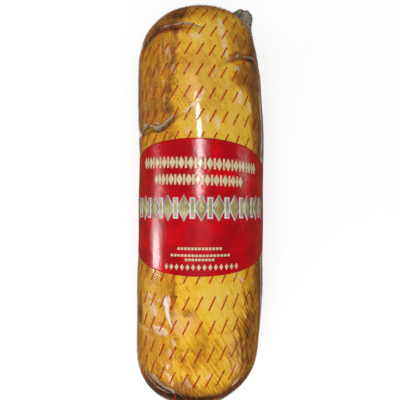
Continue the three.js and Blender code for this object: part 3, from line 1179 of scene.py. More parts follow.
@dataclass
class ShrinkFilm:
    """The clear film, tight on the cheese except over its folds and down the right side."""

    form: LogForm
    columns: int = 280
    rows: int = 320
    follow: float = 0.22  # the share of a fold's depth that the film dips into it
    tuck: Groove = Groove(2.1 * MM, (
        (-25, -66, 0.0), (-24.5, -79, 0.8), (-24, -88, 0.9), (-23, -94.5, 0.8), (-21, -102, 0.6),
        (-20, -110, 0.0),
    ))
    fold_veil: float = 0.8  # how milky the fold down the right side is
    end_veil: float = 0.3
    bloom_edge: float = 0.1
    haze: tuple[Patch, ...] = patches(
        (-52, -84, 24, 46, 0, 0.15), (-45, -158, 26, 18, 20, 0.2), (-62, 100, 12, 90, 0, 0.25),
        (72, 146, 22, 44, 0, 0.6), (-12, -157, 16, 12, 0, 0.25), (80, 30, 26, 190, 0, 0.75),
        (74, -110, 18, 60, 0, 0.6), (40, -150, 16, 26, -20, 0.3), (0, 104, 60, 100, 0, 0.3),
        (44, 150, 34, 44, 0, 0.3), (-9, -94, 14, 9, 0, 0.45),
    )
    # The first patch, over the lower left, is loose film and also painted reflection of the bright
    # room.
    bloom_and_sheen: tuple[Patch, ...] = patches(
        (-44, -98, 34, 66, 0, 0.34), (-16, -102, 14, 20, 10, 0.6), (-6, -100, 12, 18, 0, 0.5),
        (32, -130, 16, 44, 20, 0.36), (-24, -138, 14, 30, 12, 0.3), (-5, 100, 14, 34, 8, 0.46),
    )

    def build(self, material: bpy.types.Material) -> bpy.types.Object:
        """Builds and dresses the film."""
        grid = LogGrid(self.form, self.columns, self.rows)
        angle, along = grid.places()
        away, deep, width = self.form.curd_fold(angle, along)
        dip = self.follow * deep * bell(away, width)
        fold = self.form.side_fold(angle, along)
        near, high = self.form.nearest(self.tuck.line(), angle, along)
        raised = high * bell(near, self.tuck.width)
        relief = self.form.swelling(angle, along) - dip + fold + raised
        made = closed_skin("film", self.form.points(angle, along, relief), grid.poles())
        loose, pale = (np.max([p.field(self.form, angle, along) for p in areas], axis=0)
                       for areas in (self.haze, self.bloom_and_sheen))
        smoky = np.maximum(self.fold_veil * fold / self.form.fold_height, loose)
        bloom_and_sheen = smoothstep(pale - smoky, -self.bloom_edge, self.bloom_edge)
        add_values(made, "veil", np.maximum(smoky, pale), (self.end_veil, self.end_veil))
        add_values(made, "pale", bloom_and_sheen, (0.0, 0.0))
        dress(made, material, FILM_SLOT, PACK_NODE)
        return made


@dataclass(frozen=True)
class Mark:
    """A mark under the film. Its stops hold an angle, a place along and half its width, in mm."""

    stops: tuple[Stop, ...]
    strength: float = 1.0

    @classmethod
    def oval(cls, angle: float, along: float, half_width: float, half_length: float,
             lean: float = 0.0, strength: float = 1.0) -> "Mark":
        """An oval mark, in mm, whose long axis leans to the right by an angle in degrees."""
        turn = math.radians(lean)
        stops = []
        for share in (-1.0, -0.85, -0.45, 0.0, 0.45, 0.85, 1.0):
            away = share * half_length
            aside = math.degrees(away * math.sin(turn) / (LogForm.mean_radius / MM))
            wide = half_width * math.sqrt(1 - share**2)
            stops.append((angle + aside, along + away * math.cos(turn), wide))
        return cls(tuple(stops), strength)

    @classmethod
    def ovals(cls, *rows: tuple[float, ...]) -> tuple["Mark", ...]:
        """Oval marks, one for each row of an oval's values."""
        return tuple(cls.oval(*row) for row in rows)


@dataclass
class TrappedMarks:
    """Marks just under the film: where it is folded on itself, where air is caught on the rind, or
    painted glints.
    """

    form: LogForm
    name: str
    marks: tuple[Mark, ...]
    depth: float = 0.13 * MM
    thickness: float = 0.04 * MM
    tip: float = 0.03 * MM  # half the width where a mark ends
    step: float = 0.8 * MM
    across: int = 9
    ragged: float = 0.22
    ragged_length: float = 5 * MM
    # The way on the unrolled film from which the marks get painted light on one edge and painted
    # shade on the other.
    painted_light_from: tuple[float, float] = (0.3, 0.954)

    def plate(self, mark: Mark, seed: int) -> tuple[Array, Array, dict[str, Array]]:
        """Makes one mark as a thin closed plate on the plane of the unrolled film.

        Args:
            mark: The mark.
            seed: Picks the unevenness of its outline.

        Returns:
            The plate's rings, its two poles, and what its material reads at each ring point.
        """
        angle, along, half = Groove(0.0, mark.stops).line(8).T
        x, y = angle * self.form.mean_radius, self.form.arc_at(along)
        run = length_along(x, y)
        at = np.linspace(0, run[-1], max(8, int(run[-1] / self.step)))
        line = np.stack([np.interp(at, run, x), np.interp(at, run, y)], -1)
        way = np.gradient(line, axis=0)
        way /= np.linalg.norm(way, axis=1, keepdims=True)
        right = np.stack([way[:, 1], -way[:, 0]], -1)
        half = np.maximum(self.tip, np.interp(at, run, half))

        sides = np.linspace(-1, 1, self.across)
        spread = np.ones((len(at), self.across))
        for sign in (-1, 1):
            edge = np.stack([at, sign * half, 0 * at], -1)
            wave = ripples(edge, self.ragged_length, seed + sign)
            fine = ripples(edge, 0.4 * self.ragged_length, seed + 10 + sign)
            spread += np.clip(sign * sides, 0, 1) * (self.ragged * (wave + 0.5 * fine))[:, None]
        flat = line[:, None] + right[:, None] * (half[:, None] * sides * spread)[..., None]
        top, bottom = (np.concatenate([flat, np.full((*flat.shape[:2], 1), z)], -1)
                       for z in (self.thickness / 2, -self.thickness / 2))
        rings = np.concatenate([top, bottom[:, ::-1]], axis=1)
        ends = np.array([[*line[0], 0.0], [*line[-1], 0.0]])
        poles = ends + np.array([[*-way[0], 0.0], [*way[-1], 0.0]]) * self.tip
        both = np.concatenate([sides, sides[::-1]])
        core = (1 - both**2) * np.minimum(1.0, 1.6 * half / half.max())[:, None]
        values = {
            # Painted light on one side of each mark and painted shade on the other.
            "edge": (right @ np.array(self.painted_light_from))[:, None] * both,
            "core": core,
            "strength": np.full(core.shape, mark.strength),
        }
        return rings, poles, values

    def build(self, film: bpy.types.Object, tree: bpy.types.NodeTree,
              material: bpy.types.Material) -> None:
        """Builds all the marks as one piece, wraps them under the film and dresses them."""
        points, faces = [], []
        stored: dict[str, list[Array]] = {}
        for number, mark in enumerate(self.marks):
            rings, poles, values = self.plate(mark, 40 + 3 * number)
            faces += skin_faces(*rings.shape[:2], start=sum(len(part) for part in points))
            points.append(with_poles(rings, poles))
            for name, value in values.items():
                stored.setdefault(name, []).append(np.concatenate([[0.0], value.ravel(), [0.0]]))
        seedling = new_object(f"{self.name}_flat", np.concatenate(points), faces)
        for name, parts in stored.items():
            store(seedling, name, np.concatenate(parts))
        inputs = {"Film": film, "Lift": -self.depth, "Ink": material}
        made = grown(self.name, seedling, tree, inputs)
        dress(made, material, FILM_SLOT)


FILM_FOLDS = (
    Mark(((-41, 159.5, 0), (-36, 159.5, 1.1), (-31, 159, 1.4), (-26, 159.5, 0.6), (-21, 159, 0.9),
          (-15, 159, 1.5), (-9, 158, 1.3), (-3, 156, 1.0), (3, 154, 0.7), (8, 153, 0))),
    Mark(((-53.5, 148, 0), (-54, 152, 1.2), (-53, 155, 0.9), (-50.5, 158, 0))),
    Mark(((-65, 66, 0.3), (-60.5, 69, 2.4), (-55.5, 71.5, 2.8), (-52, 73, 1.2), (-49, 73, 0))),
    Mark(((-50, 72, 0), (-46, 70.5, 1.0), (-41, 68.5, 1.7), (-36.5, 67.5, 2.2), (-32, 69, 1.9),
          (-28, 72, 1.4), (-24.5, 74.5, 1.4), (-21, 77, 1.1), (-17, 78.5, 0))),
    Mark(((22, 123, 0), (27, 126, 0.8), (32, 129.5, 0.9), (37, 132.5, 1.1), (39, 134.5, 0))),
    Mark(((40, 132, 0), (46, 133.5, 0.9), (54, 136, 1.1), (63, 137, 1.1), (79, 138.5, 0))),
    Mark(((-59, -147, 0), (-57, -151, 0.8), (-52, -157, 0.9), (-46, -161, 1.0), (-39, -165, 1.1),
          (-31, -167, 0.9), (-23, -168, 0)), 1.1),
    Mark(((-53, -148, 0), (-48, -153, 0.8), (-42, -157, 0.9), (-35, -160, 1.0), (-28, -163, 1.1),
          (-20, -165, 0)), 1.2),
    Mark(((-44, -153, 0), (-38, -157, 0.7), (-32, -160, 0.8), (-25, -163, 0)), 1.0),
    Mark(((-28, -161, 0), (-24, -163, 1.6), (-21, -165, 2.4), (-19, -168, 0)), 1.3),
    Mark(((-19, -165, 0), (-14, -167, 0.5), (-10, -171, 0)), 0.8),
    Mark(((-17, -155, 0), (-13, -155, 0.5), (-8, -154, 0)), 0.7),
)
HAZY_PATCHES = (
    Mark(((-22.5, -115, 0), (-21, -118, 1.8), (-19, -121, 1.8), (-17, -124, 0)), 0.5),
    Mark(((-25, -125.5, 0), (-23, -128, 2.2), (-20.5, -131, 1.6), (-19.5, -133, 0)), 0.6),
    Mark(((-28, -146, 0), (-25, -149, 1.8), (-22.5, -152, 2.6), (-21, -157, 2.4),
          (-19, -160, 0)), 0.8),
    Mark(((-33, -147, 0), (-28, -147, 0.6), (-25, -148, 0)), 0.7),
    Mark(((-43, -152, 0), (-39, -155, 1.6), (-34, -157, 0)), 0.6),
    Mark(((-11, -149, 0), (-8.5, -152, 1.8), (-6, -155.5, 2.4), (-3, -160.5, 0)), 0.3),
    Mark(((33, -65.5, 0), (35.5, -66, 2.4), (38.5, -68, 1.8), (41, -69.5, 0)), 0.45),
    Mark(((-49.5, -80, 0), (-46, -82.5, 2.2), (-42.5, -85, 0)), 0.9),
    Mark(((-58.5, -114, 0), (-53, -114, 1.6), (-47, -115, 0)), 0.8),
    Mark(((41, -141, 0), (38, -143, 1.0), (34, -146, 2.2), (31, -149, 0)), 0.55),
    Mark(((43, -156, 0), (41, -158, 2.2), (38, -161, 2.6), (35, -164, 0)), 0.6),
    *Mark.ovals(
        (-41, -93.5, 4.2, 8.2, -34, 1.4), (-32.5, -111, 4.0, 8.6, 100, 1.2),
        (-34, -84.5, 1.2, 2.4, 40), (-31, -86, 1.3, 2.2, 40), (-24.5, -84, 1.8, 5.5),
        (-15.5, 150.5, 1.5, 3.0, 0, 0.25), (-22, 143.5, 1.1, 3.0, 0, 0.25),
        (-29.5, 144.5, 1.2, 3.6, 0, 0.2), (-27, 134.5, 1.8, 4.6, 10, 0.35),
        (-24.5, 130.5, 1.2, 6.8, 0, 0.25), (-30.5, 121, 1.5, 3.6, 0, 0.3),
        (-21, 117.5, 2.6, 4.8, -10, 0.35), (-30, 92.5, 1.1, 3.4, -10, 0.3),
        (-30.5, 108, 1.0, 1.8, 0, 0.4), (-54, 91, 1.2, 5.0, 0, 0.3),
        (-60.5, 110.5, 1.2, 5.0, 0, 0.3), (-10, 63.5, 2.8, 3.2, 0, 0.3),
        (-34, 139, 0.8, 7, 4, 0.25), (-38, 118, 0.8, 8, -4, 0.2), (-44, 100, 0.8, 7, 0, 0.2),
    ),
)
# Painted highlights: white film along the crest of the tuck, as if it caught the light, and two
# small painted glints.
PAINTED_GLINTS = (
    Mark(((-28, -78, 0), (-28, -81, 1.8), (-27.5, -85, 2.5), (-26.5, -90, 2.5), (-25.5, -95, 2.0),
          (-24, -100, 1.5), (-22.5, -104, 1.1), (-21.5, -108, 0))),
    *Mark.ovals(
        (-24.5, -141.5, 0.9, 3.0, 8), (-46.5, -119.5, 0.5, 2.6, -10, 0.6),
    ),
)
AIR_POCKETS = (
    Mark(((20, 168, 0), (20.5, 162, 3.4), (21, 155, 4.2), (22, 148, 4.2), (23, 142, 3.6),
          (24, 135, 3.0), (25, 129, 2.4), (25.5, 122, 0)), 0.8),
    Mark(((-15, 78, 0), (-10.5, 80.5, 2.1), (-6.5, 83, 2.7), (-2.5, 86.5, 2.7), (1, 91, 2.2),
          (3.5, 96.5, 1.6), (6, 101, 0)), 1.0),
    Mark(((9, 107, 0), (12.5, 111.5, 1.3), (15, 115.5, 1.9), (17.5, 119, 0)), 0.5),
    *Mark.ovals(
        (-2, 145.5, 4.2, 6.8, 86, 0.4), (36.5, 95.5, 3.4, 7.4, 6, 1.0),
        (48.5, 88, 2.4, 6.4, -22, 0.8), (14, 70, 3.0, 6.6, -8, 1.0), (5.5, 73.5, 3.6, 3.8, 0, 0.7),
        (24, 101.5, 1.4, 4.2, 0, 0.6), (35, 120, 3.6, 4.0, 80, 0.5), (9.5, -149, 1.8, 6.0, 66, 0.5),
        (30.5, 84, 1.2, 15, 2, 0.3),
    ),
)


TRAPPED = (  # each piece's name, its marks, how deep under the film they lie, and their finish
    ("film_folds", FILM_FOLDS, 0.13 * MM,
     TrappedLayer("folded_film", srgb(200, 184, 164), srgb(130, 106, 84), 0.8, 0.25)),
    ("hazy_patches", HAZY_PATCHES, 0.13 * MM,
     TrappedLayer("hazy_film", srgb(250, 222, 190), srgb(226, 188, 146), 0.75)),
    ("bright_fold", PAINTED_GLINTS, 0.1 * MM,
     TrappedLayer("bright_fold", srgb(255, 253, 246), srgb(246, 232, 204), 1.0, 0.35)),
    ("air_pockets", AIR_POCKETS, 0.13 * MM,
     TrappedLayer("air_bloom", srgb(248, 234, 192), srgb(232, 206, 144), 0.55, 0.9)),
)


FinStation: TypeAlias = tuple[Triple, Triple, float]  # foot and crest from the axis, and thickness


@dataclass
class SealFin:
    """The crumpled fin of film over the sealed end, whose right corner sticks out as an ear."""

    form: LogForm
    stations: tuple[FinStation, ...] = (
        ((58.5, 114, 2), (61.2, 115, 2), 2.4), ((57.5, 134, 2), (59.4, 135, 2), 3.0),
        ((54.5, 151, 3), (56.9, 152, 3), 3.6), ((50.5, 164, 3), (54, 165, 3), 4.4),
        ((46, 172, 3), (52, 176, 4), 6.0), ((42.5, 176, 3), (52.6, 185, 5), 8.0),
        ((39, 179, 3), (51.4, 192, 4), 9.0), ((35, 182, 2), (46.6, 196, 2), 9.0),
        ((29, 185, 0), (40.5, 198.7, -2), 7.5), ((21, 187, -3), (31, 197, -6), 5.6),
        ((10, 189, -7), (13, 198, -12), 4.8), ((-4, 189, -12), (-5, 197, -19), 4.6),
        ((-17, 187, -20), (-19, 193, -27), 4.2), ((-28, 181, -29), (-30.5, 186, -35), 3.6),
        ((-34.5, 173, -35), (-36, 175, -39), 2.4),
    )
    steps: int = 330
    levels: int = 26
    crowding: float = 0.8  # below 1, the levels lie closer together towards the crest
    thinning: float = 0.85  # how much thinner it is at its crest
    root: float = 5 * MM  # how far it runs down into the pack
    root_half: float = 0.55  # half its thickness there, as a share of the station's
    free_height: float = 12 * MM  # where it stands this high it waves and crumples freely
    waves: int = 12
    lean: float = 0.9 * MM
    rise: float = 0.25 * MM
    crumple: float = 0.2 * MM
    crumple_length: float = 10 * MM
    crumpled_from: float = 0.4  # the share of its height above which it is fully crumpled

    def build(self, material: bpy.types.Material) -> bpy.types.Object:
        """Builds and dresses the fin."""
        knots = np.arange(len(self.stations), dtype=float)
        at = np.linspace(0, len(self.stations) - 1, self.steps)
        axis = np.array([*self.form.middle, self.form.axis_height])

        def run(values: list[Triple]) -> Array:
            """A smooth line through the stations' points, in the part's frame."""
            rows = np.array(values, dtype=float).T * MM
            return np.stack([smooth_curve(at, knots, row) for row in rows], axis=1) + axis

        foot, crest = run([s[0] for s in self.stations]), run([s[1] for s in self.stations])
        thick = smooth_curve(at, knots, np.array([s[2] for s in self.stations]) * MM)
        up = crest - foot
        tall = np.linalg.norm(up, axis=1)
        outward = up / tall[:, None]
        across = np.cross(np.gradient(foot, axis=0), outward)
        across /= np.linalg.norm(across, axis=1, keepdims=True)
        turn = 2 * np.pi * self.waves * at / knots[-1]
        loose = np.minimum(1.0, tall / self.free_height)

        level = np.linspace(0, 1, self.levels) ** self.crowding
        half = 0.5 * np.sqrt(1 - self.thinning * level**3)
        levels = np.concatenate([[0.0], level, level[::-1], [0.0]])
        sides = np.concatenate([[-self.root_half], -half, half[::-1], [self.root_half]])
        heights = levels[None] * (tall + self.rise * loose * np.sin(0.7 * turn + 1))[:, None]
        heights[:, [0, -1]] = -self.root
        swing = (self.lean * loose * np.sin(turn))[:, None] * levels[None]
        aside = sides[None] * thick[:, None] + swing
        rings = foot[:, None] + outward[:, None] * heights[..., None]
        rings = rings + across[:, None] * aside[..., None]

        def creased(length: float, seed: int) -> Array:
            """A relief of sharp creases, between -1 and 1."""
            relief = ripples(rings.reshape(-1, 3), length, seed)
            return 1 - 2 * np.abs(np.clip(relief, -1, 1))

        normal = LogGrid.outward(rings)
        folded = creased(self.crumple_length, 8) + 0.5 * creased(0.5 * self.crumple_length, 9)
        push = self.crumple * (loose[:, None] ** 2) * folded.reshape(heights.shape)
        push = push * smoothstep(levels, 0.0, self.crumpled_from)
        rings = rings + normal * push[..., None]
        poles = np.stack([rings[0].mean(axis=0), rings[-1].mean(axis=0)])
        made = closed_skin("film_fin", rings, poles)
        add_values(made, "veil", 0.5 + (0.4 + 0.5 * levels[None]) * loose[:, None], (0.6, 0.6))
        dress(made, material, FILM_SLOT, PACK_NODE)
        return made


# ---- The print -----------------------------------------------------------------------------------


class Stamp(Enum):
    """The shapes that the print repeats."""

    BAR = "a bar in as many steps as it needs to follow the film"
    LOZENGE = "a disc with few corners"


def stamps_on_film(wrap: bpy.types.NodeTree) -> bpy.types.NodeTree:
    """A Geometry Nodes tree that puts a thin stamp at each point of a flat mesh and wraps them."""
    w, given, result = new_group(
        "stamps_on_film", "GeometryNodeTree",
        (GEOMETRY, FILM, ("Corners", "NodeSocketInt", 4), ("Is Bar", "NodeSocketBool", False),
         ("Bar Steps", "NodeSocketInt", 4), ("Finer", "NodeSocketInt", 0), LIFT, INK),
        (GEOMETRY,),
    )
    bar = w.node("GeometryNodeMeshCube", {
        "Size": (1.0, 1.0, 1.0), "Vertices X": 2, "Vertices Y": given.outputs["Bar Steps"],
        "Vertices Z": 2,
    })
    disc = w.node("GeometryNodeMeshCylinder", {
        "Vertices": given.outputs["Corners"], "Radius": 0.5, "Depth": 1.0,
    })
    shape = w.node("GeometryNodeSwitch", {
        "Switch": given.outputs["Is Bar"],
        "False": disc.outputs["Mesh"],
        "True": bar.outputs["Mesh"],
    })
    lean = w.node("ShaderNodeCombineXYZ", {"Z": w.stored("lean", "FLOAT")}).outputs[0]
    placed = w.node("GeometryNodeInstanceOnPoints", {
        "Points": given.outputs["Geometry"],
        "Instance": shape.outputs[0],
        "Rotation": w.node("FunctionNodeEulerToRotation", {0: lean}).outputs[0],
        "Scale": w.stored("size", "FLOAT_VECTOR"),
    })
    real = w.node("GeometryNodeRealizeInstances", {0: placed.outputs[0]}).outputs[0]
    finer = w.node("GeometryNodeSubdivideMesh", {"Mesh": real, "Level": given.outputs["Finer"]})
    wrapped = w.node("GeometryNodeGroup", node_tree=wrap)
    w.feed(wrapped.inputs["Geometry"], finer.outputs[0])
    for name in ("Film", "Lift"):
        w.feed(wrapped.inputs[name], given.outputs[name])
    inputs = {"Geometry": wrapped.outputs[0], "Material": given.outputs["Ink"]}
    w.feed(result.inputs[0], w.node("GeometryNodeSetMaterial", inputs).outputs[0])
    return w.tree


@dataclass(frozen=True)
class PrintRow:
    """A row of like shapes on the label, sized in mm on the unrolled film."""

    arc: float
    start: float
    end: float
    count: int
    width: float
    height: float
    slope: float = 0.0

    def places(self) -> list[tuple[float, float, float, float]]:
        """Each shape's place and size on the unrolled film, in mm."""
        step = (self.end - self.start) / self.count
        middles = [self.start + step * (i + 0.5) for i in range(self.count)]
        return [(x, self.arc + self.slope * x, self.width, self.height) for x in middles]


INK_SLOTS = {"label_white": "label_cream"}  # inks whose slot in the record has another name


@dataclass
class FilmPrint:
    """What is printed on the film."""

    form: LogForm
    film: bpy.types.Object
    stamps: bpy.types.NodeTree
    sheet: bpy.types.NodeTree
    inks: dict[str, bpy.types.Material]
    plate: float = 0.05 * MM  # how thick ink is built
    stack: float = 0.08 * MM  # from one layer of ink to the next
    dash_lift: float = 0.08 * MM
    label_lift: float = 0.15 * MM
    corners: int = 4  # a lozenge's

    dash_columns: int = 35
    dash_first_angle: float = math.radians(0.46)
    dash_rows: tuple[int, int] = (-2, 18)
    first_row: float = 170.1 * MM
    row_step: float = 17.7 * MM
    row_growth: float = 0.1575 * MM
    row_shifts: tuple[float, ...] = (  # how far each row is off its even place, in mm
        0, 0, 0, 0, 0, 0.5, -0.5, -1, -1.5, -1, -0.5, 0.5, 1, 2, 3, 1.5, 2.5, 1, 0, -2.5,
    )
    dash_width: float = 6.1 * MM
    dash_spread: float = 4.0e-3  # how much wider dashes are for each metre towards the sealed end
    dash_share: float = 0.55  # a dash's height, as a share of the step to the next row
    stroke: float = 1.15 * MM
    drawn: float = math.radians(4.2)  # how far dashes are drawn towards the fold on the right
    drawn_from: tuple[float, float] = (math.radians(26), math.radians(60))
    drawn_to: tuple[float, float] = (math.radians(95), math.radians(175))
    drift: float = 0.9  # how fast they shift to the right towards the sealed end
    drift_from: float = 90 * MM
    bow: float = 4.875  # how far rows near the moulded end bend up, in metres a square metre
    bow_from: float = 95 * MM  # how far below the middle that starts
    bow_over: float = 62 * MM  # how much further down it is as given
    bare_ends: tuple[float, float] = (26 * MM, 12 * MM)  # from the moulded and the sealed pole
    overlap: float = 0.45  # the share of a dash's height that may reach onto the label

    label_middle: float = -2.6 * MM
    label_half_height: float = 59.3 * MM
    label_half_width: float = 124 * MM
    label_rings: int = 54
    label_spokes: int = 240
    label_tilt: float = 0.55  # the share of the rows' slope that the label takes
    outline: float = 2.4  # how much larger a white shape is than the gold one on it, in mm

    skew: float = 0.4  # how much rows slope, for each metre above the level ones
    level_row: float = -64 * MM
    pull: float = 66.0  # how fast the rows tilt further towards the sealed end
    pulled_row: float = 125 * MM
    tilt_to: float = math.radians(75)  # past this angle, on the back, a row runs level

    def slope(self, arc: Array) -> Array:
        """How much rows fall to the right, which grows towards the sealed end."""
        above = np.maximum(0.0, arc - self.level_row)
        return -self.skew * above - self.pull * np.maximum(0.0, arc - self.pulled_row) ** 2

    def build(self) -> None:
        """Builds and dresses every printed piece."""
        self.build_label("label_red")
        dashes = self.dash_places()
        self.build_stamps("dashes", Stamp.BAR, dashes, "dash_red", self.dash_lift, finer=0)
        lift = self.label_lift + self.stack
        for i, row in enumerate(LABEL_BARS, start=1):
            self.build_row(f"label_bars_{i}", Stamp.BAR, row, "label_cream", lift)
        for i, row in enumerate(LABEL_LOZENGES, start=1):
            self.build_row(f"label_lozenges_{i}", Stamp.LOZENGE, row, "label_cream", lift)
        big = (("lozenges", Stamp.LOZENGE, BIG_LOZENGES), ("bars", Stamp.BAR, BIG_BARS))
        for name, stamp, row in big:
            rim = replace(row, width=row.width + self.outline, height=row.height + self.outline)
            self.build_row(f"outlines_{name}", stamp, rim, "label_white", lift)
            self.build_row(f"gold_{name}", stamp, row, "label_gold", lift + self.stack)

    def build_row(self, name: str, stamp: Stamp, row: PrintRow, ink: str, lift: float) -> None:
        """Builds one row of the label's shapes."""
        places = np.array([(*place, 0.0) for place in row.places()]) * (MM, MM, MM, MM, 1)
        self.build_stamps(name, stamp, places, ink, lift)

    def build_stamps(self, name: str, stamp: Stamp, places: Array, ink: str, lift: float,
                     finer: int = 2) -> None:
        """Builds like shapes on the film.

        Args:
            name: The piece's name.
            stamp: Their shape.
            places: A row for each, with its place, width, height and lean.
            ink: The name of their finish.
            lift: How far above the film they lie.
            finer: How many times each face is cut in four, to follow the film more closely.
        """
        flat = np.concatenate([places[:, :2], np.zeros((len(places), 1))], axis=1)
        seedling = new_object(f"{name}_places", flat, [])
        thick = np.full((len(places), 1), self.plate)
        store(seedling, "size", np.concatenate([places[:, 2:4], thick], axis=1))
        store(seedling, "lean", places[:, 4])
        made = grown(name, seedling, self.stamps, {
            "Film": self.film, "Corners": self.corners, "Is Bar": stamp is Stamp.BAR,
            "Finer": finer, "Lift": lift, "Ink": self.inks[ink],
        })
        dress(made, self.inks[ink], INK_SLOTS.get(ink, ink))

    def dash_places(self) -> Array:
        """The place, width, length and lean of each dash outside the label."""
        radius = self.form.mean_radius
        step = 2 * math.pi / self.dash_columns
        columns = np.arange(self.dash_columns) - self.dash_columns // 2
        angles = self.dash_first_angle + step * columns
        rise = smoothstep(angles, *self.drawn_from)
        fall = smoothstep(angles, *self.drawn_to)
        angles = angles + self.drawn * rise * (1 - fall)
        x = angles * radius
        tilted = np.clip(angles, -self.tilt_to, self.tilt_to)
        low, high = self.form.arc_ends()
        places = []
        for row, shift in zip(range(*self.dash_rows), self.row_shifts):
            middle = self.first_row - self.row_step * row - self.row_growth * row * row + shift * MM
            tall = self.dash_share * (self.row_step + 2 * self.row_growth * (row + 0.5))
            y = middle + self.slope(np.array(middle)) * radius * tilted
            bow = self.bow * max(0.0, (-middle - self.bow_from) / self.bow_over) ** 1.5
            y = y + bow * (radius * np.sin(angles)) ** 2
            on_log = (y > low + self.bare_ends[0]) & (y < high - self.bare_ends[1])
            seen = on_log & ~self.in_label(x, y, -self.overlap * tall)
            wide = self.dash_width + self.dash_spread * middle
            length, lean = math.hypot(wide, tall), -math.atan2(wide, tall)
            aside = self.drift * max(0.0, middle - self.drift_from) ** 2
            places += [(px, py, self.stroke, length, lean)
                       for px, py in zip(x[seen] + aside, y[seen])]
        return np.array(places)

    def in_label(self, x: Array, y: Array, margin: float) -> Array:
        """Whether points of the unrolled film lie on the label or too near it."""
        unskewed = y - self.label_tilt * self.slope(y) * x
        wide, high = self.label_half_width + margin, self.label_half_height + margin
        return np.hypot(x / wide, (unskewed - self.label_middle) / high) < 1

    def build_label(self, ink: str) -> None:
        """Builds the red oval as a thin closed plate that follows the film."""
        share = np.linspace(0, 1, self.label_rings + 1)[1:, None]
        turn = np.linspace(0, 2 * np.pi, self.label_spokes, endpoint=False)[None]
        x = self.label_half_width * share * np.cos(turn)
        y = self.label_middle + self.label_half_height * share * np.sin(turn)
        y = y + self.label_tilt * self.slope(y) * x
        half = 0.5 * self.plate
        sheet = np.stack([x, y, np.full(x.shape, half)], -1)
        rows = np.concatenate([sheet, (sheet * (1, 1, -1))[::-1]])
        poles = np.array([[0, self.label_middle, half], [0, self.label_middle, -half]])
        seedling = closed_skin("label_flat", rows[::-1], poles[::-1])
        inputs = {"Film": self.film, "Lift": self.label_lift, "Ink": self.inks[ink]}
        dress(grown("label", seedling, self.sheet, inputs), self.inks[ink], ink)


BIG_LOZENGES = PrintRow(-3.2, -82, 84, 11, 10.6, 21.0)
BIG_BARS = PrintRow(-3.2, -74.5, 76.5, 10, 2.6, 16.0)
LABEL_LOZENGES = (
    PrintRow(35.2, -62, 62, 15, 6.2, 11.4, -0.045),
    PrintRow(20.9, -46, 42, 11, 6.0, 10.6, -0.03),
    PrintRow(-54.0, -32, 36, 14, 3.6, 5.6),
)
LABEL_BARS = (
    PrintRow(35.2, -57.9, 57.9, 14, 1.9, 9.6, -0.045),
    PrintRow(20.9, -42, 38, 10, 1.9, 9.0, -0.03),
    PrintRow(-38.1, -20, 19.5, 13, 2.2, 2.2),
    PrintRow(-44.0, -26, 27, 17, 2.3, 2.0),
    PrintRow(-47.6, -13, 13, 9, 2.2, 2.0),
)


# ---- The studio ----------------------------------------------------------------------------------


class Use(Enum):
    """What a soft light is for."""

    LIGHT = "lights surfaces, and doesn't show in gloss"
    GLEAM = "shows in gloss, and doesn't light surfaces"


@dataclass(frozen=True)
class Strip:
    """A soft light: where it hangs, what it faces and how large and bright it is."""

    name: str
    use: Use
    place: Triple
    aim: Triple
    size: tuple[float, float]
    radiance: float


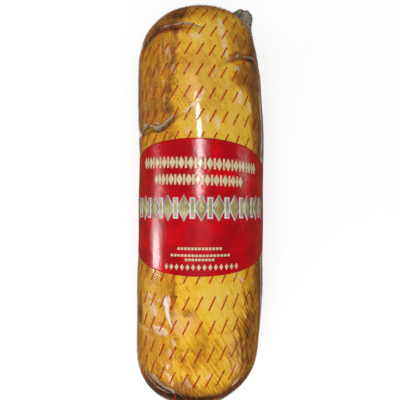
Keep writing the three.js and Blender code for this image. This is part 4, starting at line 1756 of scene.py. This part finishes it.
@dataclass
class Studio:
    """The pale floor, the soft light and the camera over the log."""

    form: LogForm
    camera_height: float = 435 * MM
    sensor: float = 36.0
    lens: float = 33.03
    shift: float = 0.0105
    nearest_seen: float = 10 * MM
    floor_size: float = 8.0
    floor_paper: Colour = (0.4, 0.4, 0.4)
    floor_glow: float = 0.7  # what the camera sees of it besides, which makes it white
    floor_in_gloss: Colour = (0.13, 0.095, 0.06)
    strips: tuple[Strip, ...] = (
        Strip("overhead", Use.LIGHT, (-0.06, -0.44, 1.4), (0, -0.02, 0.06), (1.2, 1.2), 2.8),
        Strip("from_left", Use.LIGHT, (-1.3, -0.1, 0.5), (0, -0.02, 0.06), (0.8, 0.8), 1.6),
        Strip("narrow_overhead", Use.GLEAM, (0.002, 0.172, 0.72), (0, 0.06, 0.12), (0.06, 0.29),
              42),
        Strip("window", Use.GLEAM, (-0.7, -0.1, 0.18), (0, -0.03, 0.1), (0.18, 0.14), 20),
        Strip("window_top", Use.GLEAM, (-0.7, 0.05, 0.18), (0, 0.01, 0.1), (0.18, 0.16), 3.5),
        Strip("right_wall", Use.GLEAM, (0.7, 0.1, 0.13), (0, 0.03, 0.1), (0.3, 0.2), 2.5),
    )
    fill: float = 0.3  # how brightly the room lights surfaces
    gloss_world: float = 0.06  # and how bright it is in the film's gloss

    def build(self) -> None:
        """Sets up the whole studio."""
        self.build_floor()
        self.build_world()
        for strip in self.strips:
            self.build_strip(strip)
        self.build_camera()
        bpy.context.scene.view_settings.view_transform = "Standard"

    def build_strip(self, strip: Strip) -> None:
        """Adds one area light."""
        lamp = bpy.data.lights.new(strip.name, "AREA")
        lamp.shape = "RECTANGLE"
        lamp.size, lamp.size_y = strip.size
        lamp.energy = strip.radiance * math.pi * strip.size[0] * strip.size[1]
        made = put_in_scene(strip.name, lamp)
        made.location = strip.place
        made.rotation_euler = self.facing(np.array(strip.aim) - np.array(strip.place))
        made.visible_diffuse = strip.use is Use.LIGHT
        made.visible_glossy = strip.use is Use.GLEAM
        made.visible_camera = False

    @staticmethod
    def facing(towards: Array) -> Triple:
        """The turn that points a lamp's own -Z along a direction, with its long side along Y."""
        x, y, z = towards / np.linalg.norm(towards)
        return (math.atan2(y, -z), math.atan2(-x, math.hypot(y, z)), 0.0)

    def build_world(self) -> None:
        """Lights the scene evenly, and keeps the room dim in the film's gloss."""
        world = bpy.data.worlds.new("room")
        world.use_nodes = True
        world.node_tree.nodes.clear()
        w = Wiring(world.node_tree)
        path = w.node("ShaderNodeLightPath")
        glossy = path.outputs["Is Glossy Ray"]
        strength = w.math("MULTIPLY_ADD", glossy, self.gloss_world - self.fill, self.fill)
        strength = w.math("MULTIPLY_ADD", path.outputs["Is Camera Ray"], 1.0 - self.fill, strength)
        back = w.node("ShaderNodeBackground", {"Color": (1.0, 1.0, 1.0, 1.0), "Strength": strength})
        w.feed(w.node("ShaderNodeOutputWorld").inputs["Surface"], back.outputs[0])
        bpy.context.scene.world = world

    def build_floor(self) -> None:
        """Adds the pale floor, which looks white and is dim in the film's gloss."""
        half = self.floor_size / 2
        corners = np.array([[-half, -half, 0], [half, -half, 0], [half, half, 0], [-half, half, 0]])
        floor = new_object("floor", corners, [(0, 1, 2, 3)])
        material, w, surface = new_material("floor_white")
        path = w.node("ShaderNodeLightPath")
        paper = w.node("ShaderNodeBsdfDiffuse", {"Color": (*self.floor_paper, 1.0)})
        white = w.math("MULTIPLY", path.outputs["Is Camera Ray"], self.floor_glow)
        glow = w.node("ShaderNodeEmission", {"Strength": white})
        lit = w.node("ShaderNodeAddShader", {0: paper.outputs[0], 1: glow.outputs[0]})
        dim = w.node("ShaderNodeEmission", {"Color": (*self.floor_in_gloss, 1.0)})
        glossy = path.outputs["Is Glossy Ray"]
        mixed = w.node("ShaderNodeMixShader", {0: glossy, 1: lit.outputs[0], 2: dim.outputs[0]})
        w.feed(surface, mixed.outputs[0])
        floor.data.materials.append(material)

    def build_camera(self) -> None:
        """Adds the camera, which looks straight down on the log."""
        data = bpy.data.cameras.new("camera")
        data.sensor_width, data.lens, data.shift_y = self.sensor, self.lens, self.shift
        data.clip_start = self.nearest_seen
        camera = put_in_scene("camera", data)
        camera.location = (*self.form.middle, self.camera_height)
        bpy.context.scene.camera = camera


# ---- Everything together -------------------------------------------------------------------------


def print_inks(ripple_group: bpy.types.NodeTree) -> dict[str, bpy.types.Material]:
    """Builds the inks of the print, by name."""
    inks = (
        Ink(ripple_group, "label_red", srgb(182, 5, 24), srgb(224, 2, 16), 16 * MM, 1.0,
            roughness=0.13, crinkle=0.2),
        Ink(ripple_group, "label_cream", srgb(226, 212, 168), srgb(205, 190, 140), 6 * MM),
        Ink(ripple_group, "label_white", srgb(236, 236, 240), srgb(214, 214, 222), 6 * MM),
        Ink(ripple_group, "label_gold", srgb(160, 142, 84), srgb(212, 200, 150), 9 * MM, 1.0),
        Ink(ripple_group, "dash_red", srgb(206, 34, 18), srgb(186, 40, 22), 8 * MM),
    )
    return {ink.name: ink.build() for ink in inks}


def main() -> None:
    """Builds the dressed part and its studio."""
    logging.basicConfig(level=logging.INFO, format="%(name)s: %(message)s")
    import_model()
    form = LogForm()
    form.set_middle()
    Studio(form).build()

    ripple_group = film_ripples()
    plane = form.unrolled_size()
    wrap = wrap_on_film(form)
    sheet = sheet_on_film(wrap)
    Cheese(form).build(SmokedRind(plane).build())
    film = ShrinkFilm(form).build(ClearFilm(ripple_group, plane).build())
    for name, marks, depth, layer in TRAPPED:
        TrappedMarks(form, name, marks, depth).build(film, sheet, layer.build())
    crumpled = ClearFilm(
        ripple_group, plane, "crumpled_film", srgb(160, 151, 134), srgb(84, 77, 66), crinkle=0.2,
        bump=0.2 * MM, roughness=0.16, specks=0.03,
    )
    SealFin(form).build(crumpled.build())
    FilmPrint(form, film, stamps_on_film(wrap), sheet, print_inks(ripple_group)).build()


if __name__ == "__main__":
    main()
